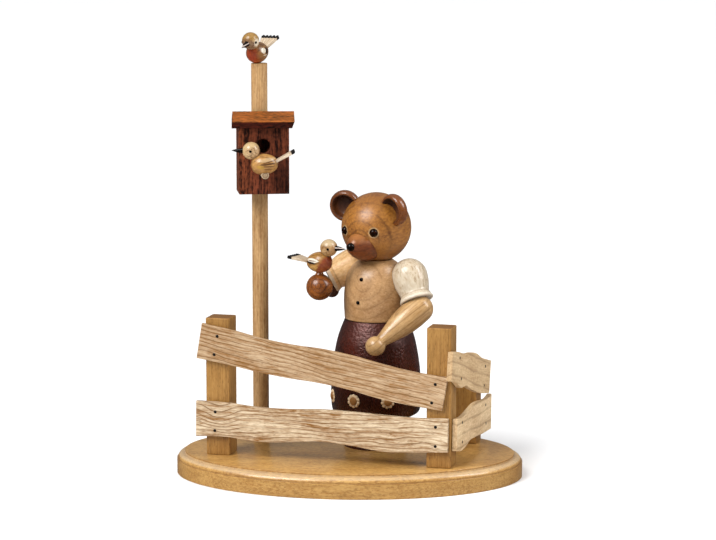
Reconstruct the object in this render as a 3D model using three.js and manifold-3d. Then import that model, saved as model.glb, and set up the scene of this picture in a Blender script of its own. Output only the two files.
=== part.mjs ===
// A turned wooden bear at a garden fence, with a birdhouse pole and three birds.
// Millimetres, +Z up. The origin is the middle of the base's underside, and -Y is the front.

import * as THREE from 'three';
import { mergeVertices } from 'three/addons/utils/BufferGeometryUtils.js';
import Module from 'manifold-3d';

const wasm = await Module();
wasm.setup();

// Clearance that is left round every glued or dowelled seat
const GAP = 0.3;
// How far a drilled hole is carried past the face that it enters
const OVERRUN = 1;

// Facets round a revolve, by its size
const OVAL_SIDES = 64;
const BODY_SIDES = 24;
const LIMB_SIDES = 16;
const BIRD_SIDES = 12;
const PIN_SIDES = 10;
// Rings of facets on a ball, as a share of the facets round it
const BALL_RINGS = 0.65;
// Points along each smooth stretch of a profile
const STEPS = {
  moulding: 4, egg: 8, skirt: 12, torso: 9, muzzle: 8, shoulder: 5, puff: 3, elbow: 5, taper: 6, paw: 6,
};
// Latitudes of a ball's ends
const LOW_END = -90;
const HIGH_END = 90;

// Oval base board: a plain side, a small fillet, a quarter round, a narrow ledge and a raised top
const BASE_HALF_LENGTH = 90;
const BASE_HALF_WIDTH = 59.5;
const BASE_HEIGHT = 12;
const BASE_EASE = 0.3;
const BASE_FILLET = 0.5;
const BASE_ROUND = 2.7;
const BASE_LEDGE = 1;
const BASE_STEP = 1.4;

// Fence: posts and planks stand in a frame that is turned on the base
const FENCE_TURN = -9.6;
const POST_SIDE = 12.6;
const POST_CHAMFER = 0.7;
const POST_HEIGHT = 71.6;
const REAR_POST_HEIGHT = 42;
const POST_LEFT_X = -62.2;
const POST_CORNER_X = 54.4;
const POST_FRONT_Y = -22.4;
const POST_REAR_Y = 37.3;
const TENON_SIDE = 7;
const TENON_DEPTH = 7;
const PLANK_THICKNESS = 2.6;

// Planks: middle along the fence, middle height, slope, length, and how far each wavy edge
// lies from the middle line at equal steps along the plank
const FRONT_UPPER = {
  middle: -6.5, height: 61.1, slope: 9.5, length: 131,
  top: [9.2, 9.0, 8.0, 8.2, 9.4, 9.3, 8.3, 8.0, 9.0],
  bottom: [9.2, 9.0, 9.4, 9.1, 8.1, 8.1, 9.2, 9.1, 8.2],
};
const FRONT_LOWER = {
  middle: -6.7, height: 30.0, slope: 0.8, length: 133,
  top: [9.5, 9.4, 8.2, 8.3, 9.3, 9.2, 8.6, 8.3, 9.0],
  bottom: [9.0, 8.3, 9.8, 8.7, 7.2, 8.3, 10.1, 9.3, 8.1],
};
const SIDE_UPPER = {
  middle: 6.9, height: 55.1, slope: 13.6, length: 94,
  top: [7.5, 8.4, 8.4, 9.0, 10.2, 10.2, 8.9, 8.8, 8.8],
  bottom: [7.1, 7.0, 9.2, 7.6, 8.6, 9.3, 9.7, 9.3, 8.6],
};
const SIDE_LOWER = {
  middle: 14.7, height: 27.0, slope: 3.2, length: 83,
  top: [7.9, 7.2, 7.7, 8.8, 9.8, 9.6, 8.9, 8.4, 9.5],
  bottom: [8.3, 9.9, 9.3, 7.7, 7.8, 8.3, 8.9, 9.2, 9.4],
};

// Pole and birdhouse: the house hangs on the front of the pole, with its roof set a little askew
const POLE_X = -49;
const POLE_Y = 22;
const POLE_RADIUS = 4.2;
const POLE_TOP = 211.5;
const POLE_DEPTH = 8;
const HOUSE_TURN = 12.5;
const HOUSE_LEFT = -12.5;
const HOUSE_RIGHT = 13.4;
const HOUSE_FRONT = -22;
const HOUSE_BACK = -3.2;
const HOUSE_FLOOR = 145.5;
const HOUSE_EAVE = 179.8;
const ROOF_SLOPE = 11;
const HOLE_RADIUS = 3.65;
const HOLE_HEIGHT = 170.3;
const HOLE_DEPTH = 9;
const ROOF_TURN = -4.5;
const ROOF_WIDTH = 31.9;
const ROOF_UNDERCUT = { left: -0.4, right: 1.3 };
const ROOF_THICKNESS = 3.6;
const ROOF_FRONT = -24.5;
const ROOF_DEPTH = 19.8;
const PERCH_RADIUS = 2;
const PERCH_HEIGHT = 156.5;
const PERCH_END = -33;
const PERCH_DEPTH = 5;
const PERCH_EASE = 0.5;

// Bear: its frame stands on the base top and is turned to face over the fence
const BEAR_X = 12.7;
const BEAR_Y = 16;
const BEAR_TURN = -25;
const PLINTH_RADIUS = 16.3;
const PLINTH_FOOT = 17.2;
const PLINTH_FOOT_SIDE = 1.1;
const PLINTH_FOOT_TOP = 3.4;
const PLINTH_TENON = 5;
const SPIGOT_RADIUS = 7;
const SPIGOT_TOP = 24;
const HEM_HEIGHT = 16.5;
const WAIST_HEIGHT = 67;
const WAIST_RADIUS = 16.5;
const SKIRT_RADIUS = 23.6;
// How far the skirt's side is drawn in, at a share of the height from hem to waist
const SKIRT_SIDE = [[3.6, 0], [0.9, 0.04], [0, 0.15], [0, 0.3], [0.9, 0.53], [2.8, 0.75], [4.7, 0.88]];
// The torso's barrel as radius and height, up to the neck
const TORSO_SIDE = [[16.9, 77], [16.3, 85], [14.9, 91], [12, 95.6], [8.5, 98.4]];
const TORSO_EASE = 0.6;
const WAIST_DOWEL = { radius: 4, from: 53, to: 82 };
const NECK_DOWEL = { radius: 3, from: 88, to: 108 };
const BUTTON_RADIUS = 1;
const BUTTON_FOOT = 12;
// A button's dome as radius and height above the shirt
const BUTTON_DOME = [[BUTTON_RADIUS, 0.2], [0.6, 0.6], [0, 0.7]];
const BUTTONS = {
  button_upper: { height: 89.5, surface: 15.4, turn: 0 },
  button_lower: { height: 77.5, surface: 16.9, turn: -4 },
};
const ROSETTE_COUNT = 8;
const ROSETTE_PETALS = 10;
const ROSETTE_RADIUS = 3.7;
// How far out the notches between the petals lie, and the control points of the petals' round ends
const ROSETTE_NOTCH = 3.26;
const ROSETTE_BOW = 4.14;
const ROSETTE_THICKNESS = 1.3;
// A rosette's heart as radius and height
const ROSETTE_HEART = [[0, 0.4], [1.7, 0.4], [1.7, 1.5], [1.1, 1.9], [0, 1.9]];
const ROSETTE_HEIGHT = 27;
const ROSETTE_SINK = 1;

// Bear's head: a ball with a blunt cone of a muzzle, bead eyes and cupped ears set into it
const HEAD_HEIGHT = 115.1;
const HEAD_TURN = -4;
const HEAD_RADIUS = 18.2;
const MUZZLE_DROP = 7.8;
const MUZZLE_BACK = 9;
const MUZZLE_RADIUS = 8.9;
const MUZZLE_LENGTH = 15;
// The muzzle's outline as shares of its radius and its length
const MUZZLE_SIDE = [[1, 0], [0.97, 0.19], [0.81, 0.47], [0.64, 0.67], [0.43, 0.86], [0.19, 0.97]];
const NOSE_RADIUS = 2.1;
const NOSE_REACH = 23.5;
const EYE_RADIUS = 2.15;
const EYE_SINK = 0.5;
const EYE_SPREAD = 29.6;
const EYE_DROP = 0.6;
const EAR_RADIUS = 8.3;
const EAR_PLACE = [15.2, -6.1, 10.8];
const EAR_AIM = [-0.24, -0.92, -0.15];
// An ear's cup as radius and height, from the middle of its back over the rim to the hollow
const EAR_CUP = [
  [0, -3.4], [5.2, -3.4], [7.4, -2.4], [EAR_RADIUS, -0.6], [EAR_RADIUS, 1.2], [7.7, 2.4],
  [6.8, 2.8], [6, 2.3], [4.6, 0], [2.5, -1], [0, -1.3],
];

// Bear's arms: a puffed sleeve with a flared cuff, and a forearm from an elbow ball to a paw ball.
// The latitudes are where the forearm leaves the one ball and meets the other, and the taper is how
// much of the elbow's thickness over the wrist's is left, at a share of the way to the wrist.
const SLEEVE_RADIUS = 9.3;
const SLEEVE_LATITUDE = -12;
const SLEEVE_NECK = { radius: 7.6, from: 9.6, to: 10.3 };
// Share of a sleeve's fullness that is left half way to its neck
const SLEEVE_SWELL = 0.75;
const CUFF_RADIUS = 8.8;
const CUFF_REACH = 13.9;
const CUFF_EASE = 0.5;
const SHOULDER_DOWEL = { radius: 2, length: 10.5 };
const ELBOW_DOWEL = { radius: 1.8, length: 13 };
const LEFT_ARM = {
  shoulder: [19.9, 0, 90.8], sleeveAim: [0.448, -0.234, -0.862],
  elbow: [28.1, -4.3, 75], elbowRadius: 7.2, elbowLatitude: -10,
  paw: [13.6, -24.4, 57.3], pawRadius: 5.1, wristLatitude: -48,
  taper: [[1, 0.05], [1, 0.25], [0.84, 0.5], [0.35, 0.8]],
};
const RIGHT_ARM = {
  shoulder: [-16.8, 4.4, 92.9], sleeveAim: [-0.713, -0.543, -0.443],
  elbow: [-24.5, -4, 80.4], elbowRadius: 3.7, elbowLatitude: 35,
  paw: [-19.3, -25.2, 85.5], pawRadius: 6.9, wristLatitude: -68,
  taper: [[0.35, 0.25], [0.05, 0.6]],
};
// How far before the paw's ball a forearm's taper ends
const WRIST_EASE = 1;

// Birds: +X of a bird's frame is forward and its origin is the middle of its body
const BIRD_BODY_RADIUS = 5.4;
const BIRD_BODY_HALF = 7.1;
// The egg of the body as shares of its radius and its half length, from the tail end
const BIRD_EGG = [[0, -1], [0.5, -0.86], [0.84, -0.5], [1, 0], [0.94, 0.42], [0.62, 0.82], [0, 1]];
const BIRD_HEAD_RADIUS = 4.5;
const BIRD_HEAD_PLACE = [6.2, 0, 7.4];
const BEAK_ROOT = { radius: 1.6, reach: 4.3 };
const BEAK_WAIST = { radius: 0.9, reach: 7.4 };
const BEAK_PEG = { radius: 1.1, length: 1.7 };
const BEAK_REACH = 10;
const TAIL_LENGTH = 13.5;
const TAIL_ROOT = 1.7;
const TAIL_TIP = 5.1;
const TAIL_SCALLOP = 1.2;
const TAIL_THICKNESS = 1.4;
const TAIL_FEATHERS = 5;
const TAIL_PLACE = [-3.6, 0, 0];
const TOP_PEG = { radius: 1.2, depth: 5.5 };
const PAW_PEG = { radius: 1.8, foot: 3 };
const PAW_BIRD_RISE = 13;
// How each bird faces, and how far its body, its beak and its tail are tipped up
const PERCH_BIRD = { place: [-0.1, -29.6, 161.8], turn: 174, pitch: -4, nod: 5, lift: 25 };
const TOP_BIRD = { place: [-0.75, -0.35, 217.1], turn: -111, pitch: -10, nod: -8, lift: 21 };
const PAW_BIRD = { turn: 0, pitch: 4, nod: -4, lift: 14 };

// Woods and stains, as colour and roughness
const WOODS = {
  beech: ['#c99a55', 0.45],
  ash: ['#dcbc94', 0.6],
  dowel: ['#cfa676', 0.6],
  walnut: ['#4f2a1d', 0.5],
  roof: ['#97562c', 0.5],
  skirt: ['#3a1d19', 0.3],
  honey: ['#b87c3d', 0.35],
  muzzle: ['#74422c', 0.35],
  shirt: ['#c9a26f', 0.5],
  sleeve: ['#ead9b8', 0.5],
  forearm: ['#c9974f', 0.4],
  paw: ['#8c5530', 0.35],
  bird: ['#d8b06c', 0.45],
  birdHead: ['#e0c28d', 0.45],
  tail: ['#ead2a8', 0.5],
  petal: ['#d8b78a', 0.55],
  black: ['#15100d', 0.25],
};

const rad = THREE.MathUtils.degToRad;
const vector = (values) => new THREE.Vector3(...values);
const UPWARD = vector([0, 0, 1]);

// A closed geometry as a solid that can be joined and cut
function solid(geometry) {
  const bare = geometry.clone();
  bare.deleteAttribute('normal');
  bare.deleteAttribute('uv');
  const merged = mergeVertices(bare, 1e-4);
  const corners = merged.index.array;
  const whole = [];
  for (let i = 0; i < corners.length; i += 3) {
    const [a, b, c] = corners.slice(i, i + 3);
    if (a !== b && b !== c && c !== a) whole.push(a, b, c);
  }
  const vertProperties = merged.attributes.position.array;
  const triVerts = new Uint32Array(whole);
  return new wasm.Manifold(new wasm.Mesh({ numProp: 3, vertProperties, triVerts }));
}

// A solid as a geometry again
function geometryOf(body) {
  const { vertProperties, triVerts } = body.getMesh();
  const geometry = new THREE.BufferGeometry();
  geometry.setAttribute('position', new THREE.BufferAttribute(vertProperties, 3));
  geometry.setIndex(new THREE.BufferAttribute(triVerts, 1));
  geometry.computeVertexNormals();
  return geometry;
}

function cut(geometry, ...tools) {
  return geometryOf(tools.reduce((body, tool) => body.subtract(solid(tool)), solid(geometry)));
}

// A revolve about +Z: the profile lists [radius, height] from the lower end to the upper end
function turned(profile, sides) {
  const points = profile.map(([radius, height]) => new THREE.Vector2(Math.max(radius, 0), height));
  return new THREE.LatheGeometry(points, sides).rotateX(Math.PI / 2);
}

// A smooth stretch of profile through a few knots
function smooth(knots, steps) {
  const curve = new THREE.SplineCurve(knots.map((knot) => new THREE.Vector2(...knot)));
  return curve.getPoints(steps).map((point) => [point.x, point.y]);
}

// A round stretch of profile about a point on the axis, from one latitude to another
function arc(middle, radius, from, to, steps) {
  return Array.from({ length: steps + 1 }, (_, step) => {
    const angle = rad(from + ((to - from) * step) / steps);
    return [radius * Math.cos(angle), middle + radius * Math.sin(angle)];
  });
}

// The same profile, pushed outward for a seat with clearance
function grown(profile) {
  return profile.map(([radius, height], i) => {
    const [r0, h0] = profile[Math.max(i - 1, 0)];
    const [r1, h1] = profile[Math.min(i + 1, profile.length - 1)];
    const length = Math.hypot(r1 - r0, h1 - h0);
    const wider = radius < 1e-6 ? 0 : radius + (GAP * (h1 - h0)) / length;
    return [wider, height - (GAP * (r1 - r0)) / length];
  });
}

function rod(radius, from, to, sides = PIN_SIDES) {
  return turned([[0, from], [radius, from], [radius, to], [0, to]], sides);
}

function ball(radius, sides) {
  return new THREE.SphereGeometry(radius, sides, Math.round(sides * BALL_RINGS));
}

// The turn that takes +Z to a direction
function facing(direction) {
  return new THREE.Quaternion().setFromUnitVectors(UPWARD, direction.clone().normalize());
}

// A copy of a geometry, moved to a place and, for a revolve, laid along a direction
function moved(geometry, place, direction = UPWARD) {
  const matrix = new THREE.Matrix4().compose(place, facing(direction), vector([1, 1, 1]));
  return geometry.clone().applyMatrix4(matrix);
}

function addPiece(group, name, geometry, wood) {
  const [color, roughness] = WOODS[wood];
  const material = new THREE.MeshStandardMaterial({ color, roughness, metalness: 0 });
  const mesh = new THREE.Mesh(geometry, material);
  mesh.name = name;
  group.add(mesh);
  return mesh;
}

function addAlong(group, name, geometry, wood, place, direction) {
  const mesh = addPiece(group, name, geometry, wood);
  mesh.position.copy(place);
  mesh.quaternion.copy(facing(direction));
}

function subgroup(parent, place, turn) {
  const group = new THREE.Group();
  group.position.set(...place);
  group.rotation.z = rad(turn);
  parent.add(group);
  return group;
}

const figure = new THREE.Group();
const fence = subgroup(figure, [0, 0, BASE_HEIGHT], FENCE_TURN);
const poleGroup = subgroup(figure, [POLE_X, POLE_Y, 0], 0);
const house = subgroup(figure, [POLE_X, POLE_Y, 0], HOUSE_TURN);
const bear = subgroup(figure, [BEAR_X, BEAR_Y, BASE_HEIGHT], BEAR_TURN);
const head = subgroup(bear, [0, 0, HEAD_HEIGHT], HEAD_TURN);

// Posts are four-sided revolves with a square tenon below and a chamfered top
const POSTS = {
  post_left: { place: [POST_LEFT_X, POST_FRONT_Y, 0], height: POST_HEIGHT },
  post_corner: { place: [POST_CORNER_X, POST_FRONT_Y, 0], height: POST_HEIGHT },
  post_rear: { place: [POST_CORNER_X, POST_REAR_Y, 0], height: REAR_POST_HEIGHT },
};

function fourSided(profile) {
  const corners = profile.map(([half, height]) => [half * Math.SQRT2, height]);
  return turned(corners, 4).rotateZ(Math.PI / 4);
}

function makePosts() {
  const half = POST_SIDE / 2;
  for (const [name, { place, height }] of Object.entries(POSTS)) {
    const post = fourSided([
      [0, -TENON_DEPTH], [TENON_SIDE / 2, -TENON_DEPTH], [TENON_SIDE / 2, GAP], [half, GAP],
      [half, height - POST_CHAMFER], [half - POST_CHAMFER, height], [0, height],
    ]);
    addPiece(fence, name, post, 'beech').position.set(...place);
  }
}

function mortises() {
  const half = TENON_SIDE / 2 + GAP;
  const depth = TENON_DEPTH + GAP;
  const hole = fourSided([[0, -depth], [half, -depth], [half, OVERRUN], [0, OVERRUN]]);
  return Object.values(POSTS).map(({ place }) => {
    const inFence = hole.clone().translate(...place).rotateZ(rad(FENCE_TURN));
    return inFence.translate(0, 0, BASE_HEIGHT);
  });
}

// The base is a revolve whose width is drawn in to an oval with an even moulding all round
function makeBase() {
  const ledge = BASE_HEIGHT - BASE_STEP;
  const shoulder = BASE_HALF_LENGTH - BASE_FILLET - BASE_ROUND;
  const quarter = arc(ledge - BASE_ROUND, BASE_ROUND, 0, HIGH_END, STEPS.moulding);
  const panel = shoulder - BASE_LEDGE;
  const board = turned([
    [0, 0], [BASE_HALF_LENGTH - BASE_EASE, 0], [BASE_HALF_LENGTH, BASE_EASE],
    [BASE_HALF_LENGTH, ledge - BASE_ROUND],
    ...quarter.map(([out, height]) => [shoulder + out, height]),
    [panel, ledge], [panel, BASE_HEIGHT], [0, BASE_HEIGHT],
  ], OVAL_SIDES);
  const corners = board.attributes.position;
  for (let i = 0; i < corners.count; i += 1) {
    const radius = Math.hypot(corners.getX(i), corners.getY(i));
    const squeeze = (radius - BASE_HALF_LENGTH + BASE_HALF_WIDTH) / Math.max(radius, 1);
    corners.setY(i, corners.getY(i) * squeeze);
  }
  const drill = (radius, depth) => rod(radius + GAP, BASE_HEIGHT - depth - GAP, BASE_HEIGHT + OVERRUN);
  addPiece(figure, 'base', cut(
    board,
    ...mortises(),
    drill(POLE_RADIUS, POLE_DEPTH).translate(POLE_X, POLE_Y, 0),
    drill(PLINTH_TENON, TENON_DEPTH).translate(BEAR_X, BEAR_Y, 0),
  ), 'beech');
}

// A plank lies in the X-Z plane with its back at y = 0, between two wavy sawn edges
function plankGeometry({ length, top, bottom }) {
  const step = length / (top.length - 1);
  const along = (i) => -length / 2 + i * step;
  const upper = top.map((height, i) => new THREE.Vector2(along(i), height));
  const lower = bottom.map((depth, i) => new THREE.Vector2(along(i), -depth)).reverse();
  const outline = new THREE.Shape();
  outline.moveTo(upper[0].x, upper[0].y);
  outline.splineThru(upper.slice(1));
  outline.lineTo(lower[0].x, lower[0].y);
  outline.splineThru(lower.slice(1));
  const board = { depth: PLANK_THICKNESS, bevelEnabled: false, curveSegments: 2 };
  return new THREE.ExtrudeGeometry(outline, board).rotateX(Math.PI / 2);
}

function makePlanks() {
  const half = POST_SIDE / 2 + GAP;
  const front = subgroup(fence, [0, POST_FRONT_Y - half, -BASE_HEIGHT], 0);
  const side = subgroup(fence, [POST_CORNER_X + half, 0, -BASE_HEIGHT], 90);
  const planks = {
    plank_front_upper: [front, FRONT_UPPER],
    plank_front_lower: [front, FRONT_LOWER],
    plank_side_upper: [side, SIDE_UPPER],
    plank_side_lower: [side, SIDE_LOWER],
  };
  for (const [name, [run, plank]] of Object.entries(planks)) {
    const mesh = addPiece(run, name, plankGeometry(plank), 'ash');
    mesh.position.set(plank.middle, 0, plank.height);
    mesh.rotation.y = rad(plank.slope);
  }
}

function makePole() {
  const pole = rod(POLE_RADIUS, BASE_HEIGHT - POLE_DEPTH, POLE_TOP, LIMB_SIDES);
  const pegHole = rod(TOP_PEG.radius + GAP, POLE_TOP - TOP_PEG.depth - GAP, POLE_TOP + OVERRUN);
  const [x, y] = TOP_BIRD.place;
  addPiece(poleGroup, 'pole', cut(pole, pegHole.translate(x, y, 0)), 'dowel');
}

// The block is seen from its side, in y and z, and pulled out across the house
function houseBlock() {
  const slant = (HOUSE_BACK - HOUSE_FRONT) * Math.tan(rad(ROOF_SLOPE));
  const side = new THREE.Shape([
    new THREE.Vector2(HOUSE_FRONT, HOUSE_FLOOR),
    new THREE.Vector2(HOUSE_BACK, HOUSE_FLOOR),
    new THREE.Vector2(HOUSE_BACK, HOUSE_EAVE + slant),
    new THREE.Vector2(HOUSE_FRONT, HOUSE_EAVE),
  ]);
  const board = { depth: HOUSE_RIGHT - HOUSE_LEFT, bevelEnabled: false };
  const block = new THREE.ExtrudeGeometry(side, board).rotateX(Math.PI / 2).rotateZ(Math.PI / 2);
  return block.translate(HOUSE_LEFT, 0, 0);
}

// The roof board's ends both lean to the left. Its lower front edge lies along X until it is tilted
// and turned.
function roofGeometry() {
  const half = ROOF_WIDTH / 2;
  const end = new THREE.Shape([
    new THREE.Vector2(ROOF_UNDERCUT.left - half, 0),
    new THREE.Vector2(half - ROOF_UNDERCUT.right, 0),
    new THREE.Vector2(half, ROOF_THICKNESS),
    new THREE.Vector2(-half, ROOF_THICKNESS),
  ]);
  const board = new THREE.ExtrudeGeometry(end, { depth: ROOF_DEPTH, bevelEnabled: false });
  return board.rotateX(Math.PI / 2).translate(0, ROOF_DEPTH, 0).rotateX(rad(ROOF_SLOPE));
}

function makeHouse() {
  const inward = vector([0, 1, 0]);
  const groove = rod(POLE_RADIUS + GAP, HOUSE_FLOOR - OVERRUN, POLE_TOP, LIMB_SIDES);
  const entrance = rod(HOLE_RADIUS, -OVERRUN, HOLE_DEPTH, LIMB_SIDES);
  const perchHole = rod(PERCH_RADIUS + GAP, -OVERRUN, PERCH_DEPTH + GAP);
  const perchPlace = vector([0, HOUSE_FRONT, PERCH_HEIGHT]);
  const block = cut(
    houseBlock(),
    groove,
    moved(entrance, vector([0, HOUSE_FRONT, HOLE_HEIGHT]), inward),
    moved(perchHole, perchPlace, inward),
  );
  addPiece(house, 'birdhouse_body', block, 'walnut');

  const roof = addPiece(house, 'birdhouse_roof', roofGeometry(), 'roof');
  const overhang = (HOUSE_FRONT - ROOF_FRONT) * Math.tan(rad(ROOF_SLOPE));
  roof.position.set(0, ROOF_FRONT, HOUSE_EAVE + GAP - overhang);
  roof.rotation.z = rad(ROOF_TURN);

  const reach = HOUSE_FRONT - PERCH_END;
  const perch = turned([
    [0, -PERCH_DEPTH], [PERCH_RADIUS, -PERCH_DEPTH], [PERCH_RADIUS, reach - PERCH_EASE],
    [PERCH_RADIUS - PERCH_EASE, reach], [0, reach],
  ], PIN_SIDES);
  addAlong(house, 'birdhouse_perch', perch, 'dowel', perchPlace, inward.clone().negate());
}

// A fan of feathers with round tips, lying along +X from its root
function tailGeometry(grow) {
  const root = TAIL_ROOT + grow;
  const tip = TAIL_TIP + grow;
  const end = TAIL_LENGTH - TAIL_SCALLOP;
  const feather = (2 * tip) / TAIL_FEATHERS;
  const fan = new THREE.Shape();
  fan.moveTo(-grow, -root);
  fan.lineTo(end, -tip);
  for (let i = 0; i < TAIL_FEATHERS; i += 1) {
    const from = -tip + i * feather;
    fan.quadraticCurveTo(TAIL_LENGTH + TAIL_SCALLOP, from + feather / 2, end, from + feather);
  }
  fan.lineTo(-grow, root);
  const depth = TAIL_THICKNESS + 2 * grow;
  const board = new THREE.ExtrudeGeometry(fan, { depth, bevelEnabled: false, curveSegments: 4 });
  return board.translate(0, 0, -depth / 2);
}

function laidTail(tail, lift) {
  return tail.rotateY(Math.PI + rad(lift)).translate(...TAIL_PLACE);
}

// One bird: a turned body that carries a ball head, a beak peg and a fan tail. The seats are what
// the body sits on, in the bird's own frame before it is pitched.
function makeBird(holder, name, place, { turn, pitch, nod, lift }, seats) {
  const bird = new THREE.Group();
  bird.rotation.y = rad(-pitch);
  subgroup(holder, place, turn).add(bird);

  const knots = BIRD_EGG.map(([radius, length]) => [radius * BIRD_BODY_RADIUS, length * BIRD_BODY_HALF]);
  const body = turned(smooth(knots, STEPS.egg), BIRD_SIDES).rotateY(Math.PI / 2);
  const headPlace = vector(BIRD_HEAD_PLACE);
  const headSeat = moved(ball(BIRD_HEAD_RADIUS + GAP, BIRD_SIDES), headPlace);
  const tailSeat = laidTail(tailGeometry(GAP), lift);
  const pitched = seats.map((seat) => seat.rotateY(rad(pitch)));
  addPiece(bird, `${name}_body`, cut(body, headSeat, tailSeat, ...pitched), 'bird');

  const middle = vector([0, 0, 0]);
  const ahead = vector([Math.cos(rad(nod)), 0, Math.sin(rad(nod))]);
  const root = BEAK_ROOT.reach;
  const clear = BIRD_HEAD_RADIUS + OVERRUN;
  const pegHole = rod(BEAK_PEG.radius + GAP, root - BEAK_PEG.length - GAP, clear);
  const beakSeat = rod(BEAK_ROOT.radius + GAP, root - GAP, clear);
  const tools = [pegHole, beakSeat].map((tool) => moved(tool, middle, ahead));
  const headBall = cut(ball(BIRD_HEAD_RADIUS, BIRD_SIDES), ...tools);
  addPiece(bird, `${name}_head`, headBall, 'birdHead').position.copy(headPlace);

  const beak = turned([
    [0, root - BEAK_PEG.length], [BEAK_PEG.radius, root - BEAK_PEG.length], [BEAK_PEG.radius, root],
    [BEAK_ROOT.radius, root], [BEAK_WAIST.radius, BEAK_WAIST.reach], [0, BEAK_REACH],
  ], PIN_SIDES);
  addAlong(bird, `${name}_beak`, beak, 'black', headPlace, ahead);
  addPiece(bird, `${name}_tail`, laidTail(tailGeometry(0), lift), 'tail');
}

function makeTopBird() {
  const [x, y, z] = TOP_BIRD.place;
  const poleSeat = rod(POLE_RADIUS + GAP, 0, POLE_TOP + GAP, LIMB_SIDES);
  const pegSeat = rod(TOP_PEG.radius + GAP, 0, z + GAP);
  makeBird(poleGroup, 'bird_top', TOP_BIRD.place, TOP_BIRD, [
    poleSeat.translate(-x, -y, -z).rotateZ(rad(-TOP_BIRD.turn)),
    pegSeat.translate(0, 0, -z),
  ]);
  const peg = rod(TOP_PEG.radius, POLE_TOP - TOP_PEG.depth, z);
  addPiece(poleGroup, 'bird_top_peg', peg, 'dowel').position.set(x, y, 0);
}

function makePerchBird() {
  const [x, y, z] = PERCH_BIRD.place;
  const perch = rod(PERCH_RADIUS + GAP, PERCH_END - OVERRUN, HOUSE_FRONT);
  const seat = moved(perch, vector([-x, -y, PERCH_HEIGHT - z]), vector([0, 1, 0]));
  makeBird(house, 'bird_perch', PERCH_BIRD.place, PERCH_BIRD, [seat.rotateZ(rad(-PERCH_BIRD.turn))]);
}

// The bell skirt is bored from below for the plinth and from above for the waist dowel
function makeSkirt() {
  const rise = WAIST_HEIGHT - HEM_HEIGHT;
  const side = SKIRT_SIDE.map(([inset, share]) => [SKIRT_RADIUS - inset, HEM_HEIGHT + rise * share]);
  const bore = WAIST_DOWEL.radius + GAP;
  const skirt = turned([
    [0, SPIGOT_TOP + GAP], [SPIGOT_RADIUS + GAP, SPIGOT_TOP + GAP], [SPIGOT_RADIUS + GAP, HEM_HEIGHT],
    ...smooth([...side, [WAIST_RADIUS, WAIST_HEIGHT]], STEPS.skirt),
    [bore, WAIST_HEIGHT], [bore, WAIST_DOWEL.from - GAP], [0, WAIST_DOWEL.from - GAP],
  ], BODY_SIDES);
  const floor = SKIRT_RADIUS - ROSETTE_SINK - GAP;
  const recess = rod(ROSETTE_RADIUS + GAP, floor, SKIRT_RADIUS + OVERRUN, BIRD_SIDES);
  const middle = vector([0, 0, ROSETTE_HEIGHT]);
  const recesses = [];
  for (let i = 0; i < ROSETTE_COUNT; i += 1) {
    const angle = (2 * Math.PI * i) / ROSETTE_COUNT;
    const outward = vector([Math.sin(angle), -Math.cos(angle), 0]);
    recesses.push(moved(recess, middle, outward));
    addAlong(bear, `rosette_${i + 1}`, rosetteGeometry(), 'petal', middle, outward);
  }
  addPiece(bear, 'skirt', cut(skirt, ...recesses), 'skirt');
}

function makePlinth() {
  const plinth = turned([
    [0, -TENON_DEPTH], [PLINTH_TENON, -TENON_DEPTH], [PLINTH_TENON, GAP], [PLINTH_FOOT, GAP],
    [PLINTH_FOOT, PLINTH_FOOT_SIDE], [PLINTH_RADIUS, PLINTH_FOOT_TOP],
    [PLINTH_RADIUS, HEM_HEIGHT - GAP], [SPIGOT_RADIUS, HEM_HEIGHT - GAP],
    [SPIGOT_RADIUS, SPIGOT_TOP], [0, SPIGOT_TOP],
  ], BODY_SIDES);
  addPiece(bear, 'foot_plinth', plinth, 'skirt');
}

// A daisy: a round of petals with a raised heart, standing out along +Z from the skirt's axis
function rosetteGeometry() {
  const petals = new THREE.Shape();
  petals.moveTo(ROSETTE_NOTCH, 0);
  const span = (2 * Math.PI) / ROSETTE_PETALS;
  for (let petal = 0; petal < ROSETTE_PETALS; petal += 1) {
    const middle = (petal + 1 / 2) * span;
    const end = (petal + 1) * span;
    petals.quadraticCurveTo(
      ROSETTE_BOW * Math.cos(middle), ROSETTE_BOW * Math.sin(middle),
      ROSETTE_NOTCH * Math.cos(end), ROSETTE_NOTCH * Math.sin(end),
    );
  }
  const round = { depth: ROSETTE_THICKNESS, bevelEnabled: false, curveSegments: 2 };
  const disc = new THREE.ExtrudeGeometry(petals, round);
  const heart = turned(ROSETTE_HEART, PIN_SIDES);
  return geometryOf(solid(disc).add(solid(heart))).translate(0, 0, SKIRT_RADIUS - ROSETTE_SINK);
}

// A sleeve from the round of its shoulder to its flared cuff
function sleeveProfile() {
  const { radius: neck, from, to } = SLEEVE_NECK;
  const swell = neck + SLEEVE_SWELL * (SLEEVE_RADIUS - neck);
  return [
    ...arc(0, SLEEVE_RADIUS, LOW_END, SLEEVE_LATITUDE, STEPS.shoulder),
    ...smooth([[SLEEVE_RADIUS, 0], [swell, from / 2], [neck, from]], STEPS.puff),
    [neck, to], [CUFF_RADIUS, CUFF_REACH - CUFF_EASE], [CUFF_RADIUS - CUFF_EASE, CUFF_REACH],
    [0, CUFF_REACH],
  ];
}

// A forearm is a club: an elbow ball that tapers to a wrist and ends in a ball paw
function forearmProfile(length, { elbowRadius, elbowLatitude, pawRadius, wristLatitude, taper }) {
  const wrist = pawRadius * Math.cos(rad(wristLatitude));
  const reach = length + pawRadius * Math.sin(rad(wristLatitude)) - WRIST_EASE;
  const side = taper.map(([share, way]) => [wrist + share * (elbowRadius - wrist), reach * way]);
  return [
    ...arc(0, elbowRadius, LOW_END, elbowLatitude, STEPS.elbow),
    ...smooth([...side, [wrist, reach]], STEPS.taper),
    ...arc(length, pawRadius, wristLatitude, HIGH_END, STEPS.paw),
  ];
}

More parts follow.
